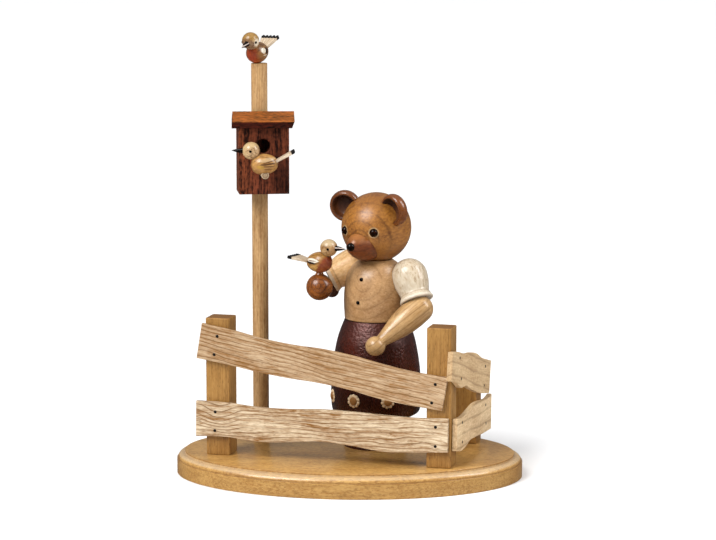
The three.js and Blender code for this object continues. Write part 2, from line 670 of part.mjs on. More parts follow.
// A dowel holds the sleeve to the torso and another the forearm to the sleeve, and the cuff is
// dished where the elbow ball of the forearm sits. Returns the forearm and the torso's seats.
function makeArm(side, arm, sleeveWood) {
  const shoulder = vector(arm.shoulder);
  const axis = vector([0, 0, shoulder.z]);
  const across = shoulder.clone().sub(axis);
  const outer = across.length();
  const inner = outer - SHOULDER_DOWEL.length;
  const shoulderDowel = rod(SHOULDER_DOWEL.radius, inner, outer);
  const shoulderHole = moved(rod(SHOULDER_DOWEL.radius + GAP, inner - GAP, outer + GAP), axis, across);
  addAlong(bear, `shoulder_dowel_${side}`, shoulderDowel, 'dowel', axis, across);

  const elbow = vector(arm.elbow);
  const upperArm = elbow.clone().sub(shoulder);
  const bend = upperArm.length();
  const start = bend - ELBOW_DOWEL.length;
  const elbowDowel = rod(ELBOW_DOWEL.radius, start, bend);
  const elbowHole = moved(rod(ELBOW_DOWEL.radius + GAP, start - GAP, bend + GAP), shoulder, upperArm);
  addAlong(bear, `elbow_dowel_${side}`, elbowDowel, 'dowel', shoulder, upperArm);

  const along = vector(arm.sleeveAim);
  const reach = vector(arm.paw).sub(elbow);
  const club = forearmProfile(reach.length(), arm);
  const forearm = moved(turned(club, LIMB_SIDES), elbow, reach);
  const forearmSeat = moved(turned(grown(club), LIMB_SIDES), elbow, reach);
  const profile = sleeveProfile();
  const sleeve = moved(turned(profile, LIMB_SIDES), shoulder, along);
  const sleeveSeat = moved(turned(grown(profile), LIMB_SIDES), shoulder, along);
  addPiece(bear, `sleeve_${side}`, cut(sleeve, forearmSeat, elbowHole, shoulderHole), sleeveWood);
  return { forearm: cut(forearm, elbowHole), seats: [sleeveSeat, shoulderHole] };
}

function makeLeftArm() {
  const { forearm, seats } = makeArm('left', LEFT_ARM, 'sleeve');
  addPiece(bear, 'forearm_left', forearm, 'forearm');
  return seats;
}

// The bird's peg stands in the top of the right paw
function makeRightArm() {
  const { forearm, seats } = makeArm('right', RIGHT_ARM, 'shirt');
  const paw = vector(RIGHT_ARM.paw);
  const pegHole = moved(rod(PAW_PEG.radius + GAP, PAW_PEG.foot - GAP, PAW_BIRD_RISE), paw);
  addPiece(bear, 'forearm_right', cut(forearm, pegHole), 'paw');
  const peg = rod(PAW_PEG.radius, PAW_PEG.foot, PAW_BIRD_RISE - OVERRUN);
  addPiece(bear, 'bird_paw_peg', peg, 'paw').position.copy(paw);
  const pegSeat = rod(PAW_PEG.radius + GAP, -PAW_BIRD_RISE, GAP - OVERRUN);
  const birdPlace = paw.clone().addScaledVector(UPWARD, PAW_BIRD_RISE);
  makeBird(bear, 'bird_paw', birdPlace.toArray(), PAW_BIRD, [pegSeat]);
  return seats;
}

// Two small studs are set into the front of the torso. Returns their holes.
function makeButtons() {
  const hole = rod(BUTTON_RADIUS + GAP, BUTTON_FOOT - GAP, SKIRT_RADIUS);
  return Object.entries(BUTTONS).map(([name, { height, surface, turn }]) => {
    const stud = turned([
      [0, BUTTON_FOOT], [BUTTON_RADIUS, BUTTON_FOOT],
      ...BUTTON_DOME.map(([radius, rise]) => [radius, surface + rise]),
    ], PIN_SIDES);
    const middle = vector([0, 0, height]);
    const forward = vector([Math.sin(rad(turn)), -Math.cos(rad(turn)), 0]);
    addAlong(bear, name, stud, 'black', middle, forward);
    return moved(hole, middle, forward);
  });
}

// The torso is a barrel with round shoulders, hollowed where the sleeves and the head sit
function makeTorso(seats) {
  const foot = WAIST_HEIGHT + GAP;
  const bore = WAIST_DOWEL.radius + GAP;
  const neck = NECK_DOWEL.radius + GAP;
  const [, top] = TORSO_SIDE.at(-1);
  const torso = turned([
    [0, WAIST_DOWEL.to + GAP], [bore, WAIST_DOWEL.to + GAP], [bore, foot], [WAIST_RADIUS - TORSO_EASE, foot],
    ...smooth([[WAIST_RADIUS, foot + TORSO_EASE], ...TORSO_SIDE], STEPS.torso),
    [neck, top], [neck, NECK_DOWEL.from - GAP], [0, NECK_DOWEL.from - GAP],
  ], BODY_SIDES);
  const headSeat = ball(HEAD_RADIUS + GAP, BODY_SIDES).translate(0, 0, HEAD_HEIGHT);
  addPiece(bear, 'torso', cut(torso, headSeat, ...seats, ...makeButtons()), 'shirt');
  for (const [name, { radius, from, to }] of [['waist_dowel', WAIST_DOWEL], ['neck_dowel', NECK_DOWEL]]) {
    addPiece(bear, name, rod(radius, from, to), 'dowel');
  }
}

// The muzzle points straight ahead below the middle of the head, with the nose in its tip
function makeHead() {
  const forward = vector([0, -1, 0]);
  const muzzlePlace = vector([0, 0, -MUZZLE_DROP]);
  const side = MUZZLE_SIDE.map(([radius, along]) => [
    MUZZLE_RADIUS * radius, MUZZLE_BACK + MUZZLE_LENGTH * along,
  ]);
  const cone = [[0, MUZZLE_BACK], ...smooth(side, STEPS.muzzle), [0, MUZZLE_BACK + MUZZLE_LENGTH]];
  const muzzle = moved(turned(cone, LIMB_SIDES), muzzlePlace, forward);
  const nosePlace = muzzlePlace.clone().addScaledVector(forward, NOSE_REACH);
  const noseSeat = moved(ball(NOSE_RADIUS + GAP, PIN_SIDES), nosePlace);
  addPiece(head, 'muzzle', cut(muzzle, noseSeat), 'muzzle');
  addPiece(head, 'nose', ball(NOSE_RADIUS, PIN_SIDES), 'black').position.copy(nosePlace);

  const neckHole = rod(NECK_DOWEL.radius + GAP, -HEAD_RADIUS - OVERRUN, NECK_DOWEL.to - HEAD_HEIGHT + GAP);
  const seats = [neckHole, moved(turned(grown(cone), LIMB_SIDES), muzzlePlace, forward)];
  const out = HEAD_RADIUS - EYE_SINK;
  for (const [name, spread] of [['eye_left', EYE_SPREAD], ['eye_right', -EYE_SPREAD]]) {
    const place = vector([out * Math.sin(rad(spread)), -out * Math.cos(rad(spread)), -EYE_DROP]);
    seats.push(moved(ball(EYE_RADIUS + GAP, PIN_SIDES), place));
    addPiece(head, name, ball(EYE_RADIUS, PIN_SIDES), 'black').position.copy(place);
  }
  addPiece(head, 'head', cut(ball(HEAD_RADIUS, BODY_SIDES), ...seats), 'honey');
}

// Each ear is a turned cup, hollowed behind where it fits the ball of the head
function makeEars() {
  const cup = turned(EAR_CUP, LIMB_SIDES);
  const headSeat = ball(HEAD_RADIUS + GAP, BODY_SIDES);
  for (const [name, side] of [['ear_left', 1], ['ear_right', -1]]) {
    const mirror = vector([side, 1, 1]);
    const place = vector(EAR_PLACE).multiply(mirror);
    const aim = vector(EAR_AIM).multiply(mirror);
    addPiece(head, name, cut(moved(cup, place, aim), headSeat), 'paw');
  }
}

makeBase();
makePosts();
makePlanks();
makePole();
makeHouse();
makeTopBird();
makePerchBird();
makePlinth();
makeSkirt();
makeTorso([...makeLeftArm(), ...makeRightArm()]);
makeHead();
makeEars();

export default figure;
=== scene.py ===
"""A turned wooden bear at a garden fence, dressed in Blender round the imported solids."""

from math import cos, hypot, pi, radians, sin, tan

import bpy
from mathutils import Matrix, Vector


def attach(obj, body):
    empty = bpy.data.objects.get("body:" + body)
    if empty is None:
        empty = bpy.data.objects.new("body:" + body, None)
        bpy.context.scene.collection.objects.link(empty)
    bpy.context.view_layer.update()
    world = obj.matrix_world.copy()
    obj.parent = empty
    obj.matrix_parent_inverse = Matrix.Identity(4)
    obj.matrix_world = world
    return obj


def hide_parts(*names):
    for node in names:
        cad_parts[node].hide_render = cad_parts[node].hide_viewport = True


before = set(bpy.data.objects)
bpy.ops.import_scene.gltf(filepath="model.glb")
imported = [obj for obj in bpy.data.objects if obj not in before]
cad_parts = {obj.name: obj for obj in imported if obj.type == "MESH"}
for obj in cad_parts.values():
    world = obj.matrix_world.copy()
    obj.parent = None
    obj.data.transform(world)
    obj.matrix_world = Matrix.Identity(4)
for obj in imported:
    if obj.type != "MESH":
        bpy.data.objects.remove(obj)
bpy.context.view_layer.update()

MM = 0.001
BODY = "root"
UP = Vector((0, 0, 1))
FRONT = Vector((0, -1, 0))
STAY = Matrix.Identity(4)

# Facets round turned pieces, and the hairline that is left where two pieces meet
ROUND, ARM, SMALL, BEAD, PEG, BEAK, DOT = 96, 64, 48, 40, 32, 24, 20
SEAM = 0.12

# Edges steeper than this, in degrees, stay sharp: on turned pieces, on boards and on petals
TURNED_EDGE, BOARD_EDGE, PETAL_EDGE = 32, 12, 50

# How near the axis a point is on it, facets of an eased corner, and the least share of a mitre
ON_AXIS, EASE_STEPS, MITRE = 1e-6, 3, 0.4


# Shapes: a shape is a list of corners in millimetres and a list of faces

def turned(profile, sides=ROUND):
    """A revolve about +Z through [radius, height] points, listed from the lower end to the upper."""
    corners, faces, rings = [], [], []
    for radius, height in profile:
        start = len(corners)
        if radius < ON_AXIS:
            corners.append(Vector((0, 0, height)))
            rings.append([start] * sides)
            continue
        for k in range(sides):
            angle = 2 * pi * k / sides
            corners.append(Vector((radius * cos(angle), radius * sin(angle), height)))
        rings.append(list(range(start, start + sides)))
    for low, high in zip(rings, rings[1:]):
        for k in range(sides):
            n = (k + 1) % sides
            face = [low[k], low[n], high[n], high[k]]
            loop = [c for i, c in enumerate(face) if c != face[i - 1]]
            if len(loop) > 2:
                faces.append(loop)
    return corners, faces


def smooth(knots, steps):
    """Points on a smooth curve through a few knots."""
    last = len(knots) - 1
    points = []
    for step in range(steps + 1):
        along = last * step / steps
        i = min(int(along), last)
        t = along - i
        p0, p1 = knots[max(i - 1, 0)], knots[i]
        p2, p3 = knots[min(i + 1, last)], knots[min(i + 2, last)]
        point = []
        for a, b, c, d in zip(p0, p1, p2, p3):
            v0, v1 = (c - a) / 2, (d - b) / 2
            cubic, square = 2 * b - 2 * c + v0 + v1, 3 * c - 3 * b - 2 * v0 - v1
            point.append(cubic * t**3 + square * t**2 + v0 * t + b)
        points.append(point)
    return points


def bend(start, pull, end, steps):
    """Points on one bend that leaves start towards pull and comes from there to end."""
    shares = [k / steps for k in range(steps + 1)]
    return [(1 - t)**2 * start + 2 * t * (1 - t) * pull + t**2 * end for t in shares]


def arc(middle, radius, start, end, steps):
    """A round stretch of profile about a point on the axis, from one latitude to another."""
    angles = [radians(start + (end - start) * k / steps) for k in range(steps + 1)]
    return [[radius * cos(a), middle + radius * sin(a)] for a in angles]


def grown(profile, by=SEAM):
    """The same profile pushed outward."""
    out = []
    for i, (radius, height) in enumerate(profile):
        r0, h0 = profile[max(i - 1, 0)]
        r1, h1 = profile[min(i + 1, len(profile) - 1)]
        length = hypot(r1 - r0, h1 - h0) or 1
        wider = 0 if radius < ON_AXIS else radius + by * (h1 - h0) / length
        out.append([wider, height - by * (r1 - r0) / length])
    return out


def eased(corner, before, after, size):
    """A profile's corner as a small round."""
    c, b, a = Vector(corner), Vector(before), Vector(after)
    start, end = c + (b - c).normalized() * size, c + (a - c).normalized() * size
    return [list(p) for p in bend(start, c, end, EASE_STEPS)]


def softened(profile, size, skip=()):
    """A profile whose inner corners are all eased a little."""
    out = [profile[0]]
    for i in range(1, len(profile) - 1):
        if i in skip:
            out.append(profile[i])
        else:
            out.extend(eased(profile[i], profile[i - 1], profile[i + 1], size))
    return out + [profile[-1]]


def ball(radius, sides=ROUND):
    return turned(arc(0, radius, -90, 90, sides // 2), sides)


def stick(radius, start, end):
    """The profile of a straight round stick."""
    return [[0, start], [radius, start], [radius, end], [0, end]]


def rod(radius, start, end, sides=SMALL):
    return turned(stick(radius, start, end), sides)


def inset(outline, by):
    """An anticlockwise outline drawn in by a small amount."""
    out = []
    for i, here in enumerate(outline):
        before, after = outline[i - 1], outline[(i + 1) % len(outline)]
        d0, d1 = (here - before).normalized(), (after - here).normalized()
        n0, n1 = Vector((-d0.y, d0.x)), Vector((-d1.y, d1.x))
        n = (n0 + n1).normalized()
        out.append(here + n * by / max(n.dot(n0), MITRE))
    return out


def lofted(layers):
    """Layers of corners, with sides between them and a face at each end."""
    count = len(layers[0])
    corners = [c for layer in layers for c in layer]
    top = len(corners) - count
    faces = []
    for low in range(0, top, count):
        for k in range(count):
            n = (k + 1) % count
            faces.append([low + k, low + n, low + count + n, low + count + k])
    faces.append(list(range(count))[::-1])
    faces.append(list(range(top, top + count)))
    return corners, faces


def slab(outline, depth, bevel, steps=3):
    """An anticlockwise outline in X-Y pulled up along +Z, with rounded edges."""
    outline = [Vector(p) for p in outline]
    turns = [pi / 2 * k / steps for k in range(steps + 1)]
    lower = [(bevel * (1 - sin(a)), bevel * (1 - cos(a))) for a in turns]
    upper = [(inner, depth - z) for inner, z in reversed(lower)]
    return lofted([[Vector((p.x, p.y, z)) for p in inset(outline, inner)] for inner, z in lower + upper])


at = Matrix.Translation


def spin(degrees, axis):
    return Matrix.Rotation(radians(degrees), 4, axis)


def facing(direction):
    """The turn that lays a revolve's axis along a direction."""
    return UP.rotation_difference(Vector(direction)).to_matrix().to_4x4()


def placed(place, direction):
    """The matrix that lays a revolve along a direction from a place."""
    return at(Vector(place)) @ facing(direction)


def moved(shape, matrix):
    corners, faces = shape
    return [matrix @ c for c in corners], faces


def local(shape, own):
    """A shape of the group's frame as it is in a piece's own frame."""
    return moved(shape, own.inverted())


def joined(*shapes):
    corners, faces = [], []
    for more, loops in shapes:
        start = len(corners)
        corners.extend(more)
        faces.extend([start + c for c in loop] for loop in loops)
    return corners, faces


def mesh_of(name, shape, scale=1.0):
    corners, faces = shape
    mesh = bpy.data.meshes.new(name)
    mesh.from_pydata([tuple(c * scale) for c in corners], [], faces)
    mesh.update()
    return mesh


def shown(name, data):
    obj = bpy.data.objects.new(name, data)
    bpy.context.scene.collection.objects.link(obj)
    return obj


def carved(shape, *tools):
    """A shape with other shapes cut out of it."""
    made = [shown("carving", mesh_of("carving", s)) for s in (shape, *tools)]
    for tool in made[1:]:
        step = made[0].modifiers.new("cut", "BOOLEAN")
        step.operation, step.solver, step.object = "DIFFERENCE", "EXACT", tool
    bpy.context.view_layer.update()
    graph = bpy.context.evaluated_depsgraph_get()
    mesh = bpy.data.meshes.new_from_object(made[0].evaluated_get(graph))
    result = [v.co.copy() for v in mesh.vertices], [list(p.vertices) for p in mesh.polygons]
    bpy.data.meshes.remove(mesh)
    for o in made:
        data = o.data
        bpy.data.objects.remove(o)
        bpy.data.meshes.remove(data)
    return result


def in_metres(matrix):
    out = matrix.copy()
    out.translation *= MM
    return out


def piece(name, shape, material, slot, *nodes, group=STAY, own=STAY, sharp=TURNED_EDGE):
    """One piece: a shape in its own frame, which the grain follows, within its group's frame."""
    mesh = mesh_of(name, shape, MM)
    mesh.polygons.foreach_set("use_smooth", [True] * len(mesh.polygons))
    mesh.set_sharp_from_angle(angle=radians(sharp))
    mesh.materials.append(material)
    obj = shown(name, mesh)
    obj.matrix_world = in_metres(group @ own)
    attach(obj, BODY)
    if nodes:
        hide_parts(*nodes)
    return obj


# Materials

# The share of a screen colour's light that the figure gives back in this studio
TONE = 0.72


def linear(hex_colour):
    """A colour as written for a screen, in the linear light that shaders use."""
    values = [int(hex_colour[i:i + 2], 16) / 255 for i in (1, 3, 5)]
    return [TONE * (v / 12.92 if v <= 0.04045 else ((v + 0.055) / 1.055) ** 2.4) for v in values] + [1]


def shade(hex_colour, share):
    return [share * v for v in linear(hex_colour)[:3]] + [1]


class Recipe:
    """The nodes of a material or of the sky, made one call at a time."""

    def __init__(self, owner, shader="Principled BSDF"):
        owner.use_nodes = True
        self.owner = owner
        self.tree = owner.node_tree
        self.shader = self.tree.nodes[shader]

    def put(self, socket, value):
        if isinstance(value, bpy.types.NodeSocket):
            self.tree.links.new(value, socket)
        elif value is not None:
            socket.default_value = value

    def node(self, kind, values=(), **settings):
        made = self.tree.nodes.new("ShaderNode" + kind)
        for key, value in settings.items():
            setattr(made, key, value)
        for socket, value in dict(values).items():
            self.put(made.inputs[socket], value)
        return made

    def maths(self, operation, a, b=None, c=None, clamp=False):
        values = {0: a, 1: b, 2: c}
        return self.node("Math", values, operation=operation, use_clamp=clamp).outputs[0]

    def times(self, a, b):
        return self.maths("MULTIPLY", a, b)

    def muladd(self, a, b, c, clamp=False):
        """The value a, times b, plus c."""
        return self.maths("MULTIPLY_ADD", a, b, c, clamp)

    def vectors(self, operation, a, b=None):
        made = self.node("VectorMath", {0: a, 1: b}, operation=operation)
        return made.outputs["Value" if operation in ("LENGTH", "DISTANCE") else "Vector"]

    def stretch(self, vector, by):
        return self.vectors("MULTIPLY", vector, by)

    def off_axis(self, vector):
        """How far a point is from the upright axis of its frame."""
        return self.vectors("LENGTH", self.stretch(vector, (1, 1, 0)))

    def mix(self, share, a, b, blend="MIX"):
        values = {0: share, 6: a, 7: b}
        return self.node("Mix", values, data_type="RGBA", blend_type=blend).outputs[2]

    def stain_and_light(self, colour, mask, hex_colour, share=1.0):
        """A colour with another laid over it where the mask is, as densely as the share says; used both for
        real marks and for painted light and shade.
        """
        return self.mix(mask if share == 1 else self.times(mask, share), colour, linear(hex_colour))

    def fade(self, value, start, end):
        """Nothing up to start, whole from end, and soft between."""
        values = {0: value, 1: start, 2: end}
        return self.node("MapRange", values, interpolation_type="SMOOTHSTEP").outputs[0]

    def between(self, value, start, full, fall, end):
        """A soft band: whole from full to fall, and nothing before start or after end."""
        return self.times(self.fade(value, start, full), self.fade(value, end, fall))

    def noise(self, vector, scale, detail=2.0, rough=0.5, output="Fac"):
        values = {"Vector": vector, "Scale": scale, "Detail": detail, "Roughness": rough}
        return self.node("TexNoise", values).outputs[output]

    def curve(self, value, stops):
        made = self.node("ValToRGB", {"Fac": value})
        ramp = made.color_ramp
        while len(ramp.elements) < len(stops):
            ramp.elements.new(0.5)
        for element, (place, grey) in zip(ramp.elements, stops):
            element.position = place
            element.color = (grey, grey, grey, 1)
        return made.outputs["Color"]

    def place(self):
        """Where a point is on the piece, in millimetres."""
        where = self.node("TexCoord").outputs["Object"]
        return self.stretch(where, (1 / MM,) * 3)

    def apart(self, vector):
        return self.node("SeparateXYZ", {"Vector": vector}).outputs

    def surface(self, values, height=None, strength=0.0, distance=0.0):
        """Fills the shader's sockets, with a bump where there is a height, and gives the owner."""
        if height is not None:
            bump = {"Strength": strength, "Distance": distance, "Height": height}
            values["Normal"] = self.node("Bump", bump).outputs["Normal"]
        for socket, value in values.items():
            self.put(self.shader.inputs[socket], value)
        return self.owner


GRAIN_TURNS = {"z": (0, 0, 0), "x": (0, pi / 2, 0), "y": (pi / 2, 0, 0)}
RING_LINE = [(0, 0.45), (0.08, 0.03), (0.5, 0.0), (0.8, 0.22), (0.94, 1.0), (1, 0.5)]

# Figures of the wood: stretch along the grain, cells to a millimetre, detail and roughness
THREADS = (0.05, 1.7, 3.0, 0.6)
CLOUDS = (0.35, 0.11, 3.0, 0.5)
SPECKLE = (0.5, 0.9, 2.0, 0.5)
BANDS = (0.03, 0.55, 2.0, 0.55)
PITS = (0.14, 2.3, 1.0, 0.5)
SPOTS = (0.45, 1.1, 2.0, 0.5)

# Cells of the slow sway and of pebbled lacquer to a millimetre, and a knot's width against its height
SWAY, PEBBLES, KNOT_OVAL = 0.06, 0.75, 0.7

# How dark even wood is between its light and dark colour, and how far the figures swing it
EVEN_DEPTH, SWING = 0.35, 2.4


# painted_fill brightens a wood's colours as painted light, on a piece that gets less light than it should
def wood(name, light, dark, grain="z", heart=(30, 12), spacing=3.0, rings=0.3, warp=2.0, wander=0.02,
         fibre=0.3, cloud=0.3, pores=0.3, mottle=0.2, fleck=0.0, streak=0.0, end=0.3, rough=0.4, spec=0.3,
         coat=0.1, gloss=0.2, crook=0.5, painted_fill=1.0, patchy=0.42, pebble=0.0, tint=None, knot=None,
         paint=None):
    """Wood: growth lines round a heart line, fibres and pores along the grain, and soft clouds."""
    r = Recipe(bpy.data.materials.new(name))
    place = r.place()
    here = r.node("Mapping", {"Vector": place, "Rotation": GRAIN_TURNS[grain]}).outputs["Vector"]

    def figure(vector, drawn_out, cells, detail, coarse, output="Fac"):
        return r.noise(r.stretch(vector, (1, 1, drawn_out)), cells, detail, coarse, output)

    sway = r.vectors("SUBTRACT", figure(here, CLOUDS[0], SWAY, 2.0, crook, "Color"), (0.5, 0.5, 0.5))
    bent = r.vectors("SUBTRACT", here, (*heart, 0))
    bent = r.vectors("ADD", bent, r.stretch(sway, (2 * warp,) * 3))
    radius = r.muladd(r.apart(here)[2], wander, r.off_axis(bent))
    if knot:
        x, z, size = knot
        gap = r.vectors("DISTANCE", r.stretch(place, (KNOT_OVAL, 0, 1)), (KNOT_OVAL * x, 0, z))
        radius = r.muladd(r.fade(gap, size, 0.0), 0.4 * size, radius)
    ring = r.curve(r.maths("FRACT", r.maths("DIVIDE", radius, spacing)), RING_LINE)

    threads, clouds, speckle = figure(bent, *THREADS), figure(here, *CLOUDS), figure(here, *SPECKLE)
    depth = EVEN_DEPTH
    for noise, share in ((threads, fibre), (clouds, cloud), (speckle, mottle)):
        depth = r.muladd(r.maths("SUBTRACT", noise, 0.5), SWING * share, depth)
    if streak:
        depth = r.muladd(r.fade(figure(bent, *BANDS), 0.42, 0.64), streak, depth)
    ends = r.apart(r.node("TexCoord").outputs["Normal"])["xyz".index(grain)]
    ends = r.fade(r.maths("ABSOLUTE", ends), 0.8, 0.97)
    depth = r.muladd(ends, end, depth, clamp=True)
    colour = r.mix(depth, shade(light, painted_fill), shade(dark, painted_fill))

    line = r.times(ring, r.fade(clouds, 0.2, 0.55))
    colour = r.mix(r.times(line, rings), colour, shade(dark, 0.6))
    pits = r.fade(figure(bent, *PITS), 0.6, 0.7)
    colour = r.mix(r.times(pits, pores), colour, shade(dark, 0.4))
    if fleck:
        spots = r.fade(figure(here, *SPOTS), 0.54, 0.64)
        spots = r.times(spots, r.fade(clouds, patchy, patchy + 0.18))
        colour = r.mix(r.times(spots, fleck), colour, shade(dark, 0.7))
    finish = r.muladd(threads, 0.16, rough - 0.08)
    if paint:
        colour, finish = paint(r, place, colour, finish)

    height = r.muladd(threads, 0.5, r.times(pits, -1.0))
    if pebble:
        height = r.muladd(r.noise(here, PEBBLES), pebble, height)
    values = {"Base Color": colour, "Roughness": finish, "Specular IOR Level": spec, "Specular Tint": tint,
              "Coat Weight": coat, "Coat Roughness": gloss}
    return r.surface(values, height, 0.16, 0.00015)


def black_lacquer(name, colour="#0a0504", worn="#2b140b", glint_width=0.0):
    """Black-stained wood that lets a little brown wood through; on a beak, a pale line along its middle is
    a painted highlight.
    """
    r = Recipe(bpy.data.materials.new(name))
    place = r.place()
    patches = r.noise(place, 0.9, 3.0)
    tint = r.mix(r.fade(patches, 0.52, 0.8), linear(colour), linear(worn))
    if glint_width:
        # Painted highlight along the beak's middle
        across = r.maths("ABSOLUTE", r.maths("ADD", r.apart(place)[0], 0.4))
        tint = r.stain_and_light(tint, r.fade(across, glint_width + 0.08, glint_width - 0.08), "#c9b8ae")
    values = {"Base Color": tint, "Roughness": r.muladd(patches, 0.1, 0.06), "Specular IOR Level": 0.15}
    return r.surface(values, patches, 0.1, 0.0001)


def nail_steel():
    r = Recipe(bpy.data.materials.new("nail_steel"))
    patches = r.noise(r.place(), 2.0, 3.0)
    tint = r.mix(patches, linear("#0d0b0a"), linear("#2b2522"))
    return r.surface({"Base Color": tint, "Roughness": r.muladd(patches, 0.3, 0.3), "Metallic": 0.6})


# Paints: each changes a wood's colour and roughness by the place on the piece, in millimetres

def ear_shade_paint(r, place, colour, finish):
    """Painted shade in the hollow of an ear, darker than its rim and darkest at its top."""
    _, up, out = r.apart(place)
    hollow = r.times(r.fade(r.off_axis(place), 7.1, 6.2), r.fade(out, -2.6, -1.6))
    share = r.times(hollow, r.muladd(r.fade(up, -4.5, 3.5), 0.55, 0.42))
    return r.stain_and_light(colour, share, "#2e0d05"), r.muladd(share, 0.3, finish)


def house_paint(r, place, colour, finish):
    """The birdhouse is coloured lighter on the left and darkest at the lower right."""
    x, _, z = r.apart(place)
    lightened = r.mix(1.0, colour, (1.45, 1.5, 1.3, 1), "MULTIPLY")
    colour = r.mix(r.fade(x, -4.0, -10.5), colour, lightened)
    corner = r.times(r.fade(x, 3.0, 9.0), r.fade(z, 24.0, 12.0))
    return r.stain_and_light(colour, corner, "#220b05", 0.5), finish


def roof_paint(r, place, colour, finish):
    """The roof's upper face carries painted light: it is coloured lighter where it faces up to the lamps.
    """
    lit_top = r.mix(1.0, colour, (6.3, 12.2, 5.6, 1), "MULTIPLY")
    return r.mix(r.fade(r.apart(place)[1], 3.25, 3.5), colour, lit_top), finish


# Painted shade in the base's step round its panel, a painted highlight on its moulding and a fine painted
# shadow line under that
BASE_LIGHT_BANDS = [((11.2, 11.5, 11.8, 12.0), "#7a4a1c", 0.42), ((9.2, 10.0, 11.0, 11.5), "#f4e6ca", 0.3),
              ((7.5, 7.8, 8.2, 9.6), "#8a6032", 0.45)]


def base_paint(r, place, colour, finish):
    """Bands of painted light and shade round the base's edge, over a plain side darkened as painted shade.
    """
    height = r.apart(place)[2]
    for heights, tint, share in BASE_LIGHT_BANDS:
        colour = r.stain_and_light(colour, r.between(height, *heights), tint, share)
    # Painted shade on the plain side below the moulding
    return r.stain_and_light(colour, r.fade(height, 7.6, 7.4), "#8a6634", 0.3), finish


def cuff_paint(mouth_share):
    """A pale band round a cuff's edge, a dark line behind it, and painted shade in its hollow, as dark as
    the arm in it.
    """
    def paint(r, place, colour, finish):
        height = r.apart(place)[2]
        colour = r.stain_and_light(colour, r.fade(height, 12.0, 12.3), "#fff3de", 0.55)
        colour = r.stain_and_light(colour, r.between(height, 9.9, 10.4, 10.7, 11.0), "#8a5c30", 0.35)
        # Painted shade over the cuff's hollow
        mouth = r.times(r.fade(r.off_axis(place), 7.9, 7.6), r.fade(height, 13.75, 13.85))
        return r.stain_and_light(colour, mouth, "#4a2410", mouth_share), finish
    return paint


def wrist_paint(r, place, colour, finish):
    """The right arm behind its paw is darkened as painted shade, and duller than the paw."""
    share = r.fade(r.apart(place)[2], 16.5, 13.5)
    return r.stain_and_light(colour, share, "#3a1a0b", 0.6), r.muladd(share, 0.5, finish)


def skirt_paint(r, place, colour, finish):
    """The skirt shines softly at the waist and sharply lower down, where its hem is darker."""
    height = r.apart(place)[2]
    colour = r.stain_and_light(colour, r.fade(height, 42, 26), "#160703", 0.45)
    return colour, r.muladd(r.fade(height, 53, 61), 0.13, finish)


EYE_SPREAD, EYE_OUT, EYE_DROP, EYE_RADIUS = radians(29.6), 17.7, 0.6, 2.15
SIDES = {"left": 1, "right": -1}


def eye_place(side):
    return Vector((side * EYE_OUT * sin(EYE_SPREAD), -EYE_OUT * cos(EYE_SPREAD), -EYE_DROP))


def head_paint(r, place, colour, finish):
    """Thin pale rings round the eyes as a painted highlight on their edges, a chin darkened as painted
    shade, and a darker crown.
    """
    height = r.apart(place)[2]
    # Painted shade on the lower head
    chin = r.times(r.fade(height, -3.0, -15.0), 0.55)
    crown = r.times(r.fade(height, 9.0, 17.0), 0.4)
    colour = r.stain_and_light(colour, r.maths("ADD", chin, crown), "#6e3c1a")
    for side in SIDES.values():
        # Painted highlight on the edge round each eye
        gap = r.vectors("DISTANCE", place, eye_place(side))
        colour = r.stain_and_light(colour, r.fade(gap, 3.0, 2.6), "#e9cb98", 0.42)
    return colour, finish


def muzzle_paint(r, place, colour, finish):
    """The muzzle's upper side is as light as the head that it grows out of."""
    return r.stain_and_light(colour, r.fade(r.apart(place)[1], 0.5, 6.0), "#bd7a3c", 0.85), finish


def bird_paint(breast, strength, marks, girth=None):
    """A bird's body: a washed breast, and a wing drawn on each side in leaves that lie along it."""
    def paint(r, place, colour, finish):
        x, y, z = r.apart(place)
        front = r.times(r.fade(r.muladd(z, -0.75, x), 1.6, 4.4), strength)
        if girth:
            front = r.times(front, r.fade(r.maths("ABSOLUTE", y), girth, 0.35 * girth))
        colour = r.mix(front, colour, r.mix(0.32, linear(breast), colour))
        for middle, size, slope, tint, share in marks:
            dx = r.maths("DIVIDE", r.maths("SUBTRACT", x, middle[0]), size[0])
            dz = r.maths("SUBTRACT", r.muladd(x, -slope, z), middle[1])
            dz = r.maths("ABSOLUTE", r.maths("DIVIDE", dz, size[1]))
            leaf = r.fade(r.muladd(dx, dx, dz), 1.08, 0.9)
            colour = r.stain_and_light(colour, leaf, tint, share)
        return colour, finish
    return paint


TAIL_LENGTH, TAIL_ROOT, TAIL_TIP, TAIL_FEATHERS = 13.5, 1.7, 5.1, 5


def tail_paint(edge):
    """A fan tail: dark shafts between the feathers and a black end on each of them."""
    def paint(r, place, colour, finish):
        x, y, _ = r.apart(place)
        width = r.muladd(x, (TAIL_TIP - TAIL_ROOT) / TAIL_LENGTH, TAIL_ROOT)
        part = r.muladd(r.maths("DIVIDE", y, width), TAIL_FEATHERS / 2, TAIL_FEATHERS / 2)
        shaft = r.maths("ABSOLUTE", r.maths("SUBTRACT", r.maths("FRACT", part), 0.5))
        colour = r.stain_and_light(colour, r.fade(shaft, 0.36, 0.46), "#7d542b", 0.6)
        bowed = r.muladd(r.times(shaft, shaft), -2.2, x)
        start = TAIL_LENGTH - edge
        ends = r.fade(bowed, start - 0.25, start + 0.25)
        return r.stain_and_light(colour, ends, "#0a0504"), r.muladd(ends, 0.35, finish)
    return paint


